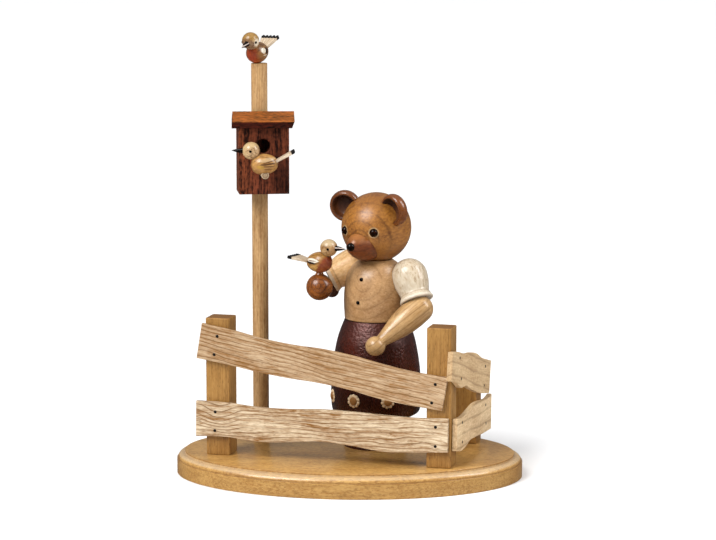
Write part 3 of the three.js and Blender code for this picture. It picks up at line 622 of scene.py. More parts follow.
def bird_head_paint(crown, face, cheek=0.0):
    """A bird's head: a darker crown, a washed face round the beak and, on one bird, pale cheeks."""
    def paint(r, place, colour, finish):
        x, y, z = r.apart(place)
        colour = r.stain_and_light(colour, r.fade(r.muladd(x, 0.2, z), 0.9, 2.6), crown, 0.75)
        colour = r.stain_and_light(colour, r.fade(r.muladd(z, -0.5, x), 2.0, 3.6), face, 0.6)
        if cheek:
            side = r.node("CombineXYZ", {"X": x, "Y": r.maths("ABSOLUTE", y), "Z": z}).outputs[0]
            gap = r.vectors("DISTANCE", side, (0.7, 4.2, -0.7))
            colour = r.stain_and_light(colour, r.fade(gap, 2.6, 1.4), "#f6e6cc", cheek)
        return colour, finish
    return paint


def rosette_paint(r, place, colour, finish):
    """A daisy's heart is darker than its petals."""
    return r.stain_and_light(colour, r.fade(r.off_axis(place), 2.25, 2.05), "#b07a40"), finish


# Marks on a bird's wing: middle, half size, slope, colour and density; WING's first, pale leaf is a painted
# highlight along the wing's top
WING = [
    ((-1.5, 2.3), (5.0, 1.0), -0.1, "#f0dfba", 0.28), ((-1.8, 0.9), (4.6, 0.3), -0.2, "#5a3212", 0.85),
    ((-1.9, 0.2), (4.4, 0.45), -0.05, "#4a2810", 0.9), ((-1.8, -0.8), (3.8, 0.4), 0.05, "#6a4018", 0.8),
    ((1.9, -1.4), (2.2, 1.0), 0.2, "#c79a2e", 0.6), ((-2.0, -2.2), (2.6, 0.4), 0.1, "#7a4c1e", 0.75)]
WING_BAR = [
    ((-1.4, 1.2), (4.2, 1.2), -0.1, "#fbf3df", 0.95), ((-1.9, 1.1), (3.6, 0.25), -0.1, "#6e2c14", 0.9),
    ((-2.6, -0.2), (4.4, 0.65), -0.15, "#24120a", 0.95), ((-1.5, -2.4), (3.4, 1.3), 0.1, "#d8a65c", 0.7)]
WING_PATCH = [
    ((2.2, 1.7), (1.8, 1.5), -0.1, "#fbf0da", 0.95), ((-0.5, 0.5), (1.4, 2.2), -0.2, "#1c0d07", 0.95),
    ((1.2, -1.2), (2.0, 0.35), 0.1, "#ecdcc0", 0.7)]

# What woods have in common
GLOSSY = dict(rough=0.32, spec=0.45, coat=0.22, gloss=0.16)
BIRD_WOOD = dict(
    grain="x", heart=(3, 2), spacing=1.9, rings=0.5, warp=0.6, fibre=0.4, cloud=0.8, pores=0.3,
    mottle=0.5, **GLOSSY)
PAW_WOOD = dict(
    light="#a35e27", dark="#461c08", heart=(1.2, 0.6), spacing=2.3, rings=0.85, warp=2.2, fibre=0.4,
    cloud=0.9, pores=0.2, mottle=0.6, end=0.0, crook=0.75, rough=0.26, spec=0.5, coat=0.0)
BIRD_HEAD = dict(
    grain="x", heart=(1, 1), spacing=1.8, rings=0.7, warp=0.6, fibre=0.3, cloud=0.4, pores=0.3,
    mottle=0.4, fleck=0.85, patchy=0.15, end=0.0, **GLOSSY)
FINE_WOOD = dict(grain="x", heart=(5, 3), spacing=1.6, warp=0.4, fibre=0.35, rough=0.5)
FRONT_PLANK = dict(spacing=2.2, rings=1.0, fibre=0.9, cloud=0.4, pores=0.4, streak=0.28, crook=0.72)
SIDE_PLANK = dict(spacing=6.0, rings=0.5, warp=2.4, fibre=0.35, cloud=0.25, pores=0.15)


def tail_wood(name, light, dark, edge):
    return wood(name, light, dark, cloud=0.2, pores=0.2, paint=tail_paint(edge), **FINE_WOOD)


def plank_wood(name, **figure):
    return wood(name, dark="#9e6c34", grain="x", wander=0.03, mottle=0.25, end=0.1, rough=0.6, spec=0.2,
                coat=0.0, **figure)


# The bare numbers are, in wood's order, ring spacing, rings, warp, wander, fibre, cloud, pores and mottle
W = {
    "base": wood(
        "golden_beech", "#e9b86c", "#b67d39", "x", (-300, 0), 5.5, 0.3, 3.0, 0.0, 0.65, 0.35, 0.5, 0.6,
        fleck=0.55, patchy=0.25, rough=0.34, spec=0.4, coat=0.35, gloss=0.12, paint=base_paint),
    "post": wood(
        "post_beech", "#c5934e", "#885921", "z", (40, 25), 3.2, 0.35, 1.0, 0.01, 0.55, 0.3, 0.5, end=0.65,
        rough=0.45),
    "pole": wood(
        "dowel_wood", "#deb27a", "#a0703c", "z", (25, 18), 2.0, 0.4, 0.6, 0.01, 0.8, 0.55, 0.3, 0.4,
        rough=0.5, coat=0.05),
    "perch": wood(
        "perch_wood", "#f4dfb8", "#7a4c20", "z", (0, 0), 1.3, 0.8, 0.3, 0.0, 0.3, 0.2, 0.2, rough=0.5),
    "walnut": wood(
        "dark_walnut", "#88452c", "#200a06", "z", (18, 45), 4.4, 0.5, 2.2, 0.02, 0.7, 0.6, 0.6, 0.7,
        streak=0.5, rough=0.6, spec=0.1, coat=0.0, paint=house_paint),
    "roof": wood(
        "roof_walnut", "#541e0f", "#180703", "x", (12, 40), 2.2, 0.5, 1.5, 0.02, 0.7, 0.6, 0.5, 0.9,
        rough=0.6, spec=0.1, coat=0.0, paint=roof_paint),
    "skirt": wood(
        "dark_stain", "#4e1b0f", "#1a0602", "z", (20, 30), 4.5, 0.4, 1.5, 0.02, 0.5, 0.5, 0.5, 0.7,
        rough=0.27, spec=0.72, coat=0.0, pebble=26, tint=(1.0, 0.6, 0.55, 1), paint=skirt_paint),
    "honey": wood(
        "honey_wood", "#c07f33", "#764010", "y", (2.3, 3.2), 4.4, 0.6, 1.6, 0.0, 0.4, 0.6, 0.3, 0.65,
        end=0.0, rough=0.4, spec=0.45, coat=0.16, gloss=0.24, paint=head_paint),
    "muzzle": wood(
        "muzzle_wood", "#8e461d", "#4c1e08", "z", (2, 9), 3.0, 0.5, 1.2, 0.02, 0.4, 0.5, 0.3, 0.5,
        rough=0.38, spec=0.7, coat=0.12, gloss=0.16, tint=(1.0, 0.75, 0.6, 1), paint=muzzle_paint),
    "ear": wood(
        "ear_wood", "#925222", "#52280f", "z", (1, 0), 2.2, 0.5, 0.8, 0.0, 0.3, 0.4, 0.2, end=0.0,
        rough=0.28, spec=0.45, coat=0.25, gloss=0.1, paint=ear_shade_paint),
    "shirt": wood(
        "shirt_wood", "#daac78", "#a16f3a", "y", (1, -88), 4.8, 0.42, 1.6, 0.0, 0.35, 0.55, 0.3, 0.5,
        fleck=0.15, end=0.0, rough=0.38, spec=0.55, coat=0.15, gloss=0.3),
    # The right sleeve's colours are brightened as painted light, against the shadow of the bird on the paw
    "shirt_sleeve": wood(
        "pale_sleeve_wood", "#f6ce98", "#cf9a5c", "z", (12, 10), 3.8, 0.15, 1.5, 0.02, 0.25, 0.4, 0.15,
        0.7, end=0.0, rough=0.4, coat=0.12, painted_fill=1.35, paint=cuff_paint(1.0)),
    "sleeve": wood(
        "cream_wood", "#f0e4cc", "#be9b70", "z", (14, 12), 3.4, 0.3, 1.5, 0.02, 0.15, 0.25, 0.05, 0.3,
        fleck=0.65, patchy=0.36, end=0.0, rough=0.32, spec=0.45, coat=0.25, gloss=0.1,
        paint=cuff_paint(0.4)),
    "forearm": wood(
        "gold_wood", "#e5bc84", "#a7743b", "z", (10, 8), 3.4, 0.6, 1.4, 0.03, 0.5, 0.4, 0.3, end=0.0,
        **GLOSSY),
    "paw": wood("paw_wood", **PAW_WOOD),
    "arm_right": wood("right_arm_wood", paint=wrist_paint, **PAW_WOOD),
    "bird_top": wood(
        "top_bird_wood", "#a06e38", "#5c3617", **BIRD_WOOD,
        paint=bird_paint("#b83a10", 0.95, WING_PATCH, 4.6)),
    "bird_paw": wood(
        "paw_bird_wood", "#d29c50", "#82521f", **BIRD_WOOD, paint=bird_paint("#8c2018", 1.0, WING_BAR)),
    "bird_perch": wood(
        "perch_bird_wood", "#d6a05c", "#80521e", **BIRD_WOOD, paint=bird_paint("#c08a48", 0.4, WING)),
    "head_top": wood(
        "top_head_wood", "#dcbb88", "#8a5c2c", **BIRD_HEAD,
        paint=bird_head_paint("#a67a2e", "#6e4638", 0.85)),
    "head_paw": wood(
        "paw_head_wood", "#e4bc84", "#936230", **BIRD_HEAD, paint=bird_head_paint("#d9c19a", "#c4905e")),
    "head_perch": wood(
        "perch_head_wood", "#ecc693", "#845224", **dict(BIRD_HEAD, grain="y", rings=0.9),
        paint=bird_head_paint("#dfbf8a", "#e2bd86")),
    "tail": tail_wood("tail_wood", "#fff0da", "#c9a06c", 2.0),
    "tail_long": tail_wood("long_tail_wood", "#fbead0", "#b98f58", 3.1),
    # The petals' colours are brightened as painted light, against the shadow of the planks
    "petal": wood(
        "petal_wood", "#fde6c2", "#c29660", end=0.0, painted_fill=1.3, paint=rosette_paint, **FINE_WOOD),
    "black": black_lacquer("black_lacquer"),
    "eye": black_lacquer("eye_lacquer", "#160803", "#4a1f0c"),
    "beak": black_lacquer("beak_lacquer", "#0f0706", "#3a1d14", 0.24),
    "nail": nail_steel(),
}


# Base board

BASE_LENGTH, BASE_WIDTH, BASE_TOP, BASE_SIDES = 90, 59.5, 12, 240
BASE_FILLET, BASE_ROUND, BASE_LEDGE, BASE_STEP = 0.5, 2.7, 1, 1.4
BASE_ARRIS, BASE_EDGE = 0.15, 0.3


def make_base():
    ledge, shoulder = BASE_TOP - BASE_STEP, BASE_LENGTH - BASE_FILLET - BASE_ROUND
    panel, arris = shoulder - BASE_LEDGE, ledge - BASE_ROUND
    quarter = [[shoulder + out, height] for out, height in arc(arris, BASE_ROUND, 0, 90, 14)]
    rim = eased((BASE_LENGTH, arris), (BASE_LENGTH, 0), (shoulder, arris), BASE_ARRIS)
    edge = eased((panel, BASE_TOP), (panel, ledge), (0, BASE_TOP), BASE_EDGE)
    foot = [[0, 0], [BASE_LENGTH - BASE_EDGE, 0], [BASE_LENGTH, BASE_EDGE]]
    corners, faces = turned([*foot, *rim, *quarter, [panel, ledge], *edge, [0, BASE_TOP]], BASE_SIDES)
    for c in corners:
        radius = hypot(c.x, c.y)
        c.y *= (radius - BASE_LENGTH + BASE_WIDTH) / max(radius, 1)
    piece("base_board", (corners, faces), W["base"], "beech", "base")


# Fence

FENCE = at((0, 0, BASE_TOP)) @ spin(-9.6, "Z")
FRONT_ROW, SIDE_ROW = -22.4, 54.4
POST_SIDE, POST_HEIGHT, POST_ROUND, POST_BEVEL = 12.6, 71.6, 0.62, 0.58
POSTS = {"post_left": (-62.2, FRONT_ROW, POST_HEIGHT), "post_corner": (SIDE_ROW, FRONT_ROW, POST_HEIGHT),
         "post_rear": (SIDE_ROW, 37.3, 42)}


def rounded_square(side, radius, steps=4):
    half = side / 2 - radius
    outline = []
    for quarter, (sx, sy) in enumerate(((1, 1), (-1, 1), (-1, -1), (1, -1))):
        for k in range(steps + 1):
            a = pi / 2 * (quarter + k / steps)
            outline.append((sx * half + radius * cos(a), sy * half + radius * sin(a)))
    return outline


def make_posts():
    outline = rounded_square(POST_SIDE, POST_ROUND)
    for name, (x, y, height) in POSTS.items():
        piece("fence_" + name, slab(outline, height, POST_BEVEL), W["post"], "beech", name,
              group=FENCE, own=at((x, y, 0)), sharp=BOARD_EDGE)


PLANKS = {
    "plank_front_upper": dict(
        middle=-6.5, height=61.1, slope=9.5, length=131,
        wood=dict(FRONT_PLANK, light="#dcbe99", heart=(60, 9), warp=3.2),
        top=[9.2, 9.0, 8.0, 8.2, 9.4, 9.3, 8.3, 8.0, 9.0],
        bottom=[9.2, 9.0, 9.4, 9.1, 8.1, 8.1, 9.2, 9.1, 8.2]),
    "plank_front_lower": dict(
        middle=-6.7, height=30.0, slope=0.8, length=133,
        wood=dict(FRONT_PLANK, light="#f9e4c2", heart=(-55, 9), warp=3.6, knot=(-54, 2, 11)),
        top=[9.5, 9.4, 8.2, 8.3, 9.3, 9.2, 8.6, 8.3, 9.0],
        bottom=[9.0, 8.3, 9.8, 8.7, 7.2, 8.3, 10.1, 9.3, 8.1]),
    "plank_side_upper": dict(
        middle=6.9, height=55.1, slope=13.6, length=94,
        wood=dict(SIDE_PLANK, light="#f8d8a8", heart=(34, 12)),
        top=[7.5, 8.4, 8.4, 9.0, 10.2, 10.2, 8.9, 8.8, 8.8],
        bottom=[7.1, 7.0, 9.2, 7.6, 8.6, 9.3, 9.7, 9.3, 8.6]),
    "plank_side_lower": dict(
        middle=14.7, height=27.0, slope=3.2, length=83,
        # This plank's colours are brightened as painted light, as if lit from below
        wood=dict(SIDE_PLANK, light="#ffe3b6", heart=(38, -12), painted_fill=1.14),
        top=[7.9, 7.2, 7.7, 8.8, 9.8, 9.6, 8.9, 8.4, 9.5],
        bottom=[8.3, 9.9, 9.3, 7.7, 7.8, 8.3, 8.9, 9.2, 9.4]),
}
PLANK_THICKNESS, PLANK_GAP, PLANK_BEVEL, PLANK_STEPS = 2.6, 0.3, 0.28, 72
FRONT_RUN = FENCE @ at((0, FRONT_ROW - POST_SIDE / 2 - PLANK_GAP, -BASE_TOP))
SIDE_RUN = FENCE @ at((SIDE_ROW + POST_SIDE / 2 + PLANK_GAP, 0, -BASE_TOP)) @ spin(90, "Z")


def plank_shape(length, top, bottom):
    step = length / (len(top) - 1)
    upper = smooth([(-length / 2 + i * step, h) for i, h in enumerate(top)], PLANK_STEPS)
    lower = smooth([(-length / 2 + i * step, -d) for i, d in enumerate(bottom)], PLANK_STEPS)
    return moved(slab(lower + upper[::-1], PLANK_THICKNESS, PLANK_BEVEL), spin(90, "X"))


def make_planks():
    for name, p in PLANKS.items():
        shape = plank_shape(p["length"], p["top"], p["bottom"])
        piece("fence_" + name, shape, plank_wood("ash_" + name, **p["wood"]), "ash", name,
              group=SIDE_RUN if "side" in name else FRONT_RUN,
              own=at((p["middle"], 0, p["height"])) @ spin(p["slope"], "Y"), sharp=BOARD_EDGE)


# Nails, as places along a run and heights above the table
FRONT_NAILS = [
    (-61.3, 74.7), (-63, 65.1), (53.3, 55.5), (51.5, 46), (-62.7, 35.2), (-63, 25.4), (53.5, 33.7),
    (53.4, 23.8)]
SIDE_NAILS = [
    (-21.3, 67.7), (-18.1, 56.4), (40, 52.1), (37.1, 42.4), (-15.1, 33.3), (-14.8, 23.1), (41.5, 31.1),
    (42.3, 21)]
NAIL = [[0, -1.2], [0.45, -1.2], [0.45, -0.1], [0.8, -0.1], [0.8, 0.06], [0.55, 0.2], [0, 0.26]]


def make_nails():
    count = 0
    for run, places in ((FRONT_RUN, FRONT_NAILS), (SIDE_RUN, SIDE_NAILS)):
        for x, z in places:
            count += 1
            piece(f"nail_{count:02d}", turned(NAIL, DOT), W["nail"], "black", group=run,
                  own=placed((x, -PLANK_THICKNESS, z), FRONT))


# Pole and birdhouse

POLE = at((-49, 22, 0))
HOUSE = POLE @ spin(12.5, "Z")
POLE_RADIUS, POLE_TOP, POLE_EASE = 4.2, 211.5, 0.4
HOUSE_FRONT, HOUSE_BACK, HOUSE_LEFT, HOUSE_RIGHT = -22, -3.2, -12.5, 13.4
HOUSE_FLOOR, HOUSE_EAVE, HOUSE_BEVEL = 145.5, 179.8, 0.35
ROOF_SLOPE, ROOF_TURN, ROOF_BEVEL, ROOF_GAP = 11, -4.5, 0.3, 0.3
ROOF_HALF, ROOF_THICKNESS, ROOF_FRONT, ROOF_DEPTH = 15.95, 3.6, -24.5, 19.8
ROOF_END = [
    (-0.4 - ROOF_HALF, 0), (ROOF_HALF - 1.3, 0), (ROOF_HALF, ROOF_THICKNESS), (-ROOF_HALF, ROOF_THICKNESS)]
ENTRANCE_HEIGHT = 170.3
ENTRANCE = [[0, -9], [3.65, -9], [3.65, -0.4], [4.1, 0], [4.1, 1], [0, 1]]
PERCH_HEIGHT, PERCH_START, PERCH_END, PERCH_RADIUS, PERCH_EASE = 156.5, -5, -33, 2, 0.5


def make_pole():
    pole = turned(softened(stick(POLE_RADIUS, BASE_TOP, POLE_TOP), POLE_EASE, (1,)), SMALL)
    piece("garden_pole", pole, W["pole"], "dowel", "pole", group=POLE)


def make_house():
    rise = tan(radians(ROOF_SLOPE))
    side = [(HOUSE_FRONT, HOUSE_FLOOR), (HOUSE_BACK, HOUSE_FLOOR),
            (HOUSE_BACK, HOUSE_EAVE + (HOUSE_BACK - HOUSE_FRONT) * rise), (HOUSE_FRONT, HOUSE_EAVE)]
    upright = Matrix(((0, 0, 1, HOUSE_LEFT), (1, 0, 0, 0), (0, 1, 0, 0), (0, 0, 0, 1)))
    block = moved(slab(side, HOUSE_RIGHT - HOUSE_LEFT, HOUSE_BEVEL), upright)
    entrance = moved(turned(ENTRANCE, SMALL), placed((0, HOUSE_FRONT, ENTRANCE_HEIGHT), FRONT))
    block = carved(block, rod(POLE_RADIUS + SEAM, HOUSE_FLOOR - 1, POLE_TOP), entrance)
    own = at((0, HOUSE_FRONT, HOUSE_FLOOR))
    piece("birdhouse_block", local(block, own), W["walnut"], "walnut", "birdhouse_body", group=HOUSE,
          own=own, sharp=BOARD_EDGE)

    board = moved(slab(ROOF_END, ROOF_DEPTH, ROOF_BEVEL), at((0, 0, -ROOF_DEPTH)))
    eave = HOUSE_EAVE + ROOF_GAP - (HOUSE_FRONT - ROOF_FRONT) * rise
    own = at((0, ROOF_FRONT, eave)) @ spin(ROOF_TURN, "Z") @ spin(ROOF_SLOPE + 90, "X")
    piece("birdhouse_roof_board", board, W["roof"], "roof", "birdhouse_roof", group=HOUSE, own=own,
          sharp=BOARD_EDGE)

    peg = turned(softened(stick(PERCH_RADIUS, PERCH_START, HOUSE_FRONT - PERCH_END), PERCH_EASE), SMALL)
    piece("birdhouse_perch_peg", peg, W["perch"], "dowel", "birdhouse_perch", group=HOUSE,
          own=placed((0, HOUSE_FRONT, PERCH_HEIGHT), FRONT))


# Birds: +X of a bird's frame is forward and its origin is the middle of its body

BIRD_RADIUS, BIRD_HALF = 5.4, 7.1
BIRD_EGG = [[0, -1], [0.5, -0.86], [0.84, -0.5], [1, 0], [0.94, 0.42], [0.62, 0.82], [0, 1]]
BIRD_BALL, BIRD_NECK = 4.5, at((6.2, 0, 7.4))
BEAK_SIDE = [[1.5, 3.9], [1.35, 4.8], [0.95, 7.1], [0.5, 8.7], [0.12, 9.9]]
BEAK_REACH = 10
TAIL_PLACE, TAIL_SCALLOP, TAIL_THICKNESS, TAIL_BEVEL = at((-3.6, 0, 0)), 1.2, 1.4, 0.15
EYE_DOT, EYE_SUNK = [[0, -0.4], [0.72, -0.4], [0.7, 0.05], [0.5, 0.3], [0, 0.42]], 0.12


def tail_shape():
    end, width = TAIL_LENGTH - TAIL_SCALLOP, 2 * TAIL_TIP / TAIL_FEATHERS
    outline = [Vector((0, -TAIL_ROOT)), Vector((end, -TAIL_TIP))]
    for i in range(TAIL_FEATHERS):
        y = -TAIL_TIP + i * width
        tip = Vector((TAIL_LENGTH + TAIL_SCALLOP, y + width / 2))
        outline += bend(Vector((end, y)), tip, Vector((end, y + width)), 8)[1:]
    outline.append(Vector((0, TAIL_ROOT)))
    return moved(slab(outline, TAIL_THICKNESS, TAIL_BEVEL, 2), at((0, 0, -TAIL_THICKNESS / 2)))


def make_bird(name, place, turn, pitch, nod, lift, bill="beak", fan="tail", eye=(0.38, 0.88, -0.08)):
    """A bird at a place, by its turn and pitch, the nod of its beak and the lift of its tail in degrees."""
    group = place @ spin(turn, "Z") @ spin(-pitch, "Y")
    knots = [[r * BIRD_RADIUS, h * BIRD_HALF] for r, h in BIRD_EGG]
    egg = moved(turned(smooth(knots, 40), SMALL), spin(90, "Y"))
    seat = moved(ball(BIRD_BALL + SEAM, SMALL), BIRD_NECK)
    piece(name + "_egg", carved(egg, seat), W[name], "bird", name + "_body", group=group)
    piece(name + "_ball", ball(BIRD_BALL, SMALL), W[name.replace("bird", "head")], "bird_head",
          name + "_head", group=group, own=BIRD_NECK)
    beak = turned([[0, BEAK_SIDE[0][1]], *smooth(BEAK_SIDE, 16), [0, BEAK_REACH]], BEAK)
    set_beak = BIRD_NECK @ facing((cos(radians(nod)), 0, sin(radians(nod))))
    piece(name + "_bill", beak, W[bill], "black", name + "_beak", group=group, own=set_beak)
    piece(name + "_fan", tail_shape(), W[fan], "tail", name + "_tail", group=group,
          own=TAIL_PLACE @ spin(180 + lift, "Y"), sharp=BOARD_EDGE)
    for label, side in SIDES.items():
        out = Vector((eye[0], side * eye[1], eye[2])).normalized()
        piece(f"{name}_eye_{label}", turned(EYE_DOT, DOT), W["black"], "black", group=group,
              own=BIRD_NECK @ placed(out * (BIRD_BALL - EYE_SUNK), out))


def make_pole_birds():
    make_bird("bird_top", POLE @ at((-0.75, -0.35, 217.1)), -111, -10, -8, 21, fan="tail_long")
    make_bird("bird_perch", HOUSE @ at((-0.1, -29.6, 161.8)), 174, -4, 5, 25, "black",
              eye=(0.07, 0.97, 0.0))


# Bear

BEAR = at((12.7, 16, BASE_TOP)) @ spin(-25, "Z")
HEAD_HEIGHT, HEAD_RADIUS = 115.1, 18.2
HEAD = BEAR @ at((0, 0, HEAD_HEIGHT)) @ spin(-4, "Z")
HEM, WAIST, WAIST_RADIUS, SKIRT_RADIUS, SKIRT_FOOT = 16.5, 67, 16.5, 23.6, 7.3
SKIRT_SIDE = [[3.6, 0], [0.9, 0.04], [0, 0.15], [0, 0.3], [0.9, 0.53], [2.8, 0.75], [4.7, 0.88]]
PLINTH = [[0, 0], [17.2, 0], [17.2, 1.4], [16.3, 3.4], [16.3, HEM - 0.3], [0, HEM - 0.3]]
PLINTH_EASE = 0.35

# Facets of the skirt and of a daisy's recess, which differ so that their edges don't meet
SKIRT_SIDES, RECESS_SIDES = 100, 44

# Daisies round the hem: how many, how high, how wide, with how many petals of how many facets
ROSETTES, ROSETTE_HEIGHT, ROSETTE_RADIUS, PETALS, PETAL_STEPS = 8, 27, 3.7, 10, 8
RECESS_DEPTH, ROSETTE_DEPTH, PETAL_SWELL, PETAL_GROOVE = 1.3, 1, 0.14, 0.22
ROSETTE_RINGS = [(0.0, 1.0), (0.75, 1.0), (1.05, 0.93), (1.25, 0.8), (1.2, 0.62), (0.85, 0.5)]
ROSETTE_HEART = [[2.1, 0.4], [2.12, 1.2], [1.7, 1.7], [0.85, 1.95]]


def rosette_shape():
    """A daisy: rings of grooved petals round a domed heart."""
    count = PETALS * PETAL_STEPS
    layers = []
    for height, share in ROSETTE_RINGS:
        groove = PETAL_GROOVE if share < 1 else 0
        layer = []
        for k in range(count):
            a = 2 * pi * k / count
            bow = abs(sin(PETALS / 2 * a))
            reach = share * ROSETTE_RADIUS * (1 - PETAL_SWELL + PETAL_SWELL * bow ** 0.7)
            z = height - groove * (1 - bow ** 0.6)
            layer.append(Vector((reach * cos(a), reach * sin(a), z)))
        layers.append(layer)
    heart = turned([[0, 0.4], *smooth(ROSETTE_HEART, 12), [0, 2.0]], PEG)
    return joined(lofted(layers), heart)


def make_skirt():
    side = [[SKIRT_RADIUS - inner, HEM + (WAIST - HEM) * share] for inner, share in SKIRT_SIDE]
    bell = smooth([*side, [WAIST_RADIUS, WAIST]], 64)
    skirt = turned([[0, HEM], [SKIRT_FOOT, HEM], *bell, [0, WAIST]], SKIRT_SIDES)
    recess = rod(ROSETTE_RADIUS + SEAM, SKIRT_RADIUS - RECESS_DEPTH, SKIRT_RADIUS + 1, RECESS_SIDES)
    holes = []
    for i in range(ROSETTES):
        a = 2 * pi * i / ROSETTES
        set_recess = placed((0, 0, ROSETTE_HEIGHT), (sin(a), -cos(a), 0))
        holes.append(moved(recess, set_recess))
        piece(f"daisy_{i + 1}", rosette_shape(), W["petal"], "petal", f"rosette_{i + 1}", group=BEAR,
              own=set_recess @ at((0, 0, SKIRT_RADIUS - ROSETTE_DEPTH)), sharp=PETAL_EDGE)
    piece("bell_skirt", carved(skirt, *holes), W["skirt"], "skirt", "skirt", group=BEAR)
    plinth = turned(softened(PLINTH, PLINTH_EASE, (1,)))
    piece("round_plinth", plinth, W["skirt"], "skirt", "foot_plinth", group=BEAR)


SLEEVE_RADIUS, SLEEVE_NECK, CUFF_RADIUS, CUFF_REACH, ELBOW_GAP = 9.3, 7.6, 8.8, 13.9, 0.2
ARMS = {
    "left": dict(
        shoulder=(19.9, 0, 90.8), aim=(0.448, -0.234, -0.862), elbow=(28.1, -4.3, 75),
        paw=(13.6, -24.4, 57.3), thick=7.2, leaves=-10, size=5.1, meets=-48,
        taper=[[1, 0.05], [1, 0.25], [0.84, 0.5], [0.35, 0.8]],
        sleeve="sleeve", sleeve_slot="sleeve", forearm="forearm", forearm_slot="forearm"),
    "right": dict(
        shoulder=(-16.8, 4.4, 92.9), aim=(-0.713, -0.543, -0.443), elbow=(-24.5, -4, 80.4),
        paw=(-19.3, -25.2, 85.5), thick=3.7, leaves=35, size=6.9, meets=-68,
        taper=[[0.35, 0.25], [0.05, 0.6]],
        sleeve="shirt_sleeve", sleeve_slot="shirt", forearm="arm_right", forearm_slot="paw"),
}


def sleeve_profile():
    r, neck = SLEEVE_RADIUS, SLEEVE_NECK
    return [
        *arc(0, r, -90, -12, 20),
        *smooth([[r, 0], [(3 * r + neck) / 4, 4.8], [neck, 9.6]], 14), [neck, 10.3],
        *smooth([[neck + 0.15, 10.7], [CUFF_RADIUS, CUFF_REACH - 0.9], [CUFF_RADIUS, CUFF_REACH - 0.4]], 8),
        [CUFF_RADIUS - 0.25, CUFF_REACH - 0.1], [CUFF_RADIUS - 0.6, CUFF_REACH], [0, CUFF_REACH],
    ]


def forearm_profile(length, arm):
    low, thick, size = radians(arm["meets"]), arm["thick"], arm["size"]
    wrist, reach = size * cos(low), length + size * sin(low) - 1
    side = [[wrist + share * (thick - wrist), reach * way] for share, way in arm["taper"]]
    return [
        *arc(0, thick, -90, arm["leaves"], 24),
        *smooth([*side, [wrist, reach]], 24),
        *arc(length, size, arm["meets"], 90, 32),
    ]


def make_arms():
    """Makes the sleeves and forearms, and returns the torso's seats."""
    seats = []
    for side, arm in ARMS.items():
        elbow = Vector(arm["elbow"])
        reach = Vector(arm["paw"]) - elbow
        club = forearm_profile(reach.length, arm)
        set_club = placed(elbow, reach)
        set_sleeve = placed(arm["shoulder"], Vector(arm["aim"]).normalized())
        hollow = moved(turned(grown(club, ELBOW_GAP), ARM), set_club)
        sleeve = carved(moved(turned(sleeve_profile(), ARM), set_sleeve), hollow)
        piece(f"puffed_sleeve_{side}", local(sleeve, set_sleeve), W[arm["sleeve"]], arm["sleeve_slot"],
              f"sleeve_{side}", group=BEAR, own=set_sleeve)
        piece(f"club_forearm_{side}", turned(club, ARM), W[arm["forearm"]], arm["forearm_slot"],
              f"forearm_{side}", group=BEAR, own=set_club)
        seats.append(moved(turned(grown(sleeve_profile()), ARM), set_sleeve))
    return seats


TORSO_SIDE = [[16.9, 77], [16.3, 85], [14.9, 91], [12, 95.6], [8.5, 98.4]]
TORSO_FOOT = WAIST + 0.3

# Buttons, by height, distance from the torso's axis and turn in degrees
BUTTONS = {"button_upper": (89.5, 15.4, 0), "button_lower": (77.5, 16.9, -4)}
STUD = [[0, -2], [1, -2], *smooth([[1, 0.1], [0.95, 0.35], [0.6, 0.6], [0.2, 0.7]], 10), [0, 0.7]]


def make_torso(seats):
    foot = [[0, TORSO_FOOT], [WAIST_RADIUS - 0.6, TORSO_FOOT], [WAIST_RADIUS - 0.2, TORSO_FOOT + 0.15]]
    barrel = smooth([[WAIST_RADIUS, TORSO_FOOT + 0.6], *TORSO_SIDE], 48)
    torso = turned([*foot, *barrel, [0, TORSO_SIDE[-1][1]]])
    head_seat = moved(ball(HEAD_RADIUS + SEAM), at((0, 0, HEAD_HEIGHT)))
    piece("barrel_torso", carved(torso, head_seat, *seats), W["shirt"], "shirt", "torso", group=BEAR)
    for name, (height, surface, turn) in BUTTONS.items():
        forward = spin(turn, "Z") @ FRONT
        own = placed(UP * height + forward * surface, forward)
        piece(name + "_stud", turned(STUD, PEG), W["black"], "black", name, group=BEAR, own=own)


PAW_PEG = [[2.7, 6.2], [2.1, 6.9], [1.75, 8.0], [1.9, 9.5]]
PAW_BIRD_RISE = 13


def make_paw_bird():
    set_paw = at(ARMS["right"]["paw"])
    corners, faces = turned([*smooth(PAW_PEG, 14), [0, PAW_PEG[-1][1]]], PEG)
    faces.append(list(range(PEG))[::-1])
    piece("bird_paw_foot", (corners, faces), W["paw"], "paw", "bird_paw_peg", group=BEAR, own=set_paw)
    make_bird("bird_paw", BEAR @ set_paw @ at((0, 0, PAW_BIRD_RISE)), 0, 4, -4, 14, fan="tail_long")


MUZZLE_SIDE = [[1, 0], [0.97, 0.19], [0.81, 0.47], [0.64, 0.67], [0.43, 0.86], [0.19, 0.97]]
MUZZLE_DROP, MUZZLE_RADIUS, MUZZLE_START, MUZZLE_END, MUZZLE_GAP = 7.8, 8.9, 9, 24, 0.2
NOSE_REACH, NOSE_RADIUS = 23.5, 2.1
EAR_CUP = [
    [5.2, -3.4], [7.4, -2.4], [8.3, -0.6], [8.3, 1.2], [7.7, 2.4], [6.8, 2.8], [6, 2.3], [4.6, 0],
    [2.5, -1], [0, -1.3]]
EAR_SIDES = 72


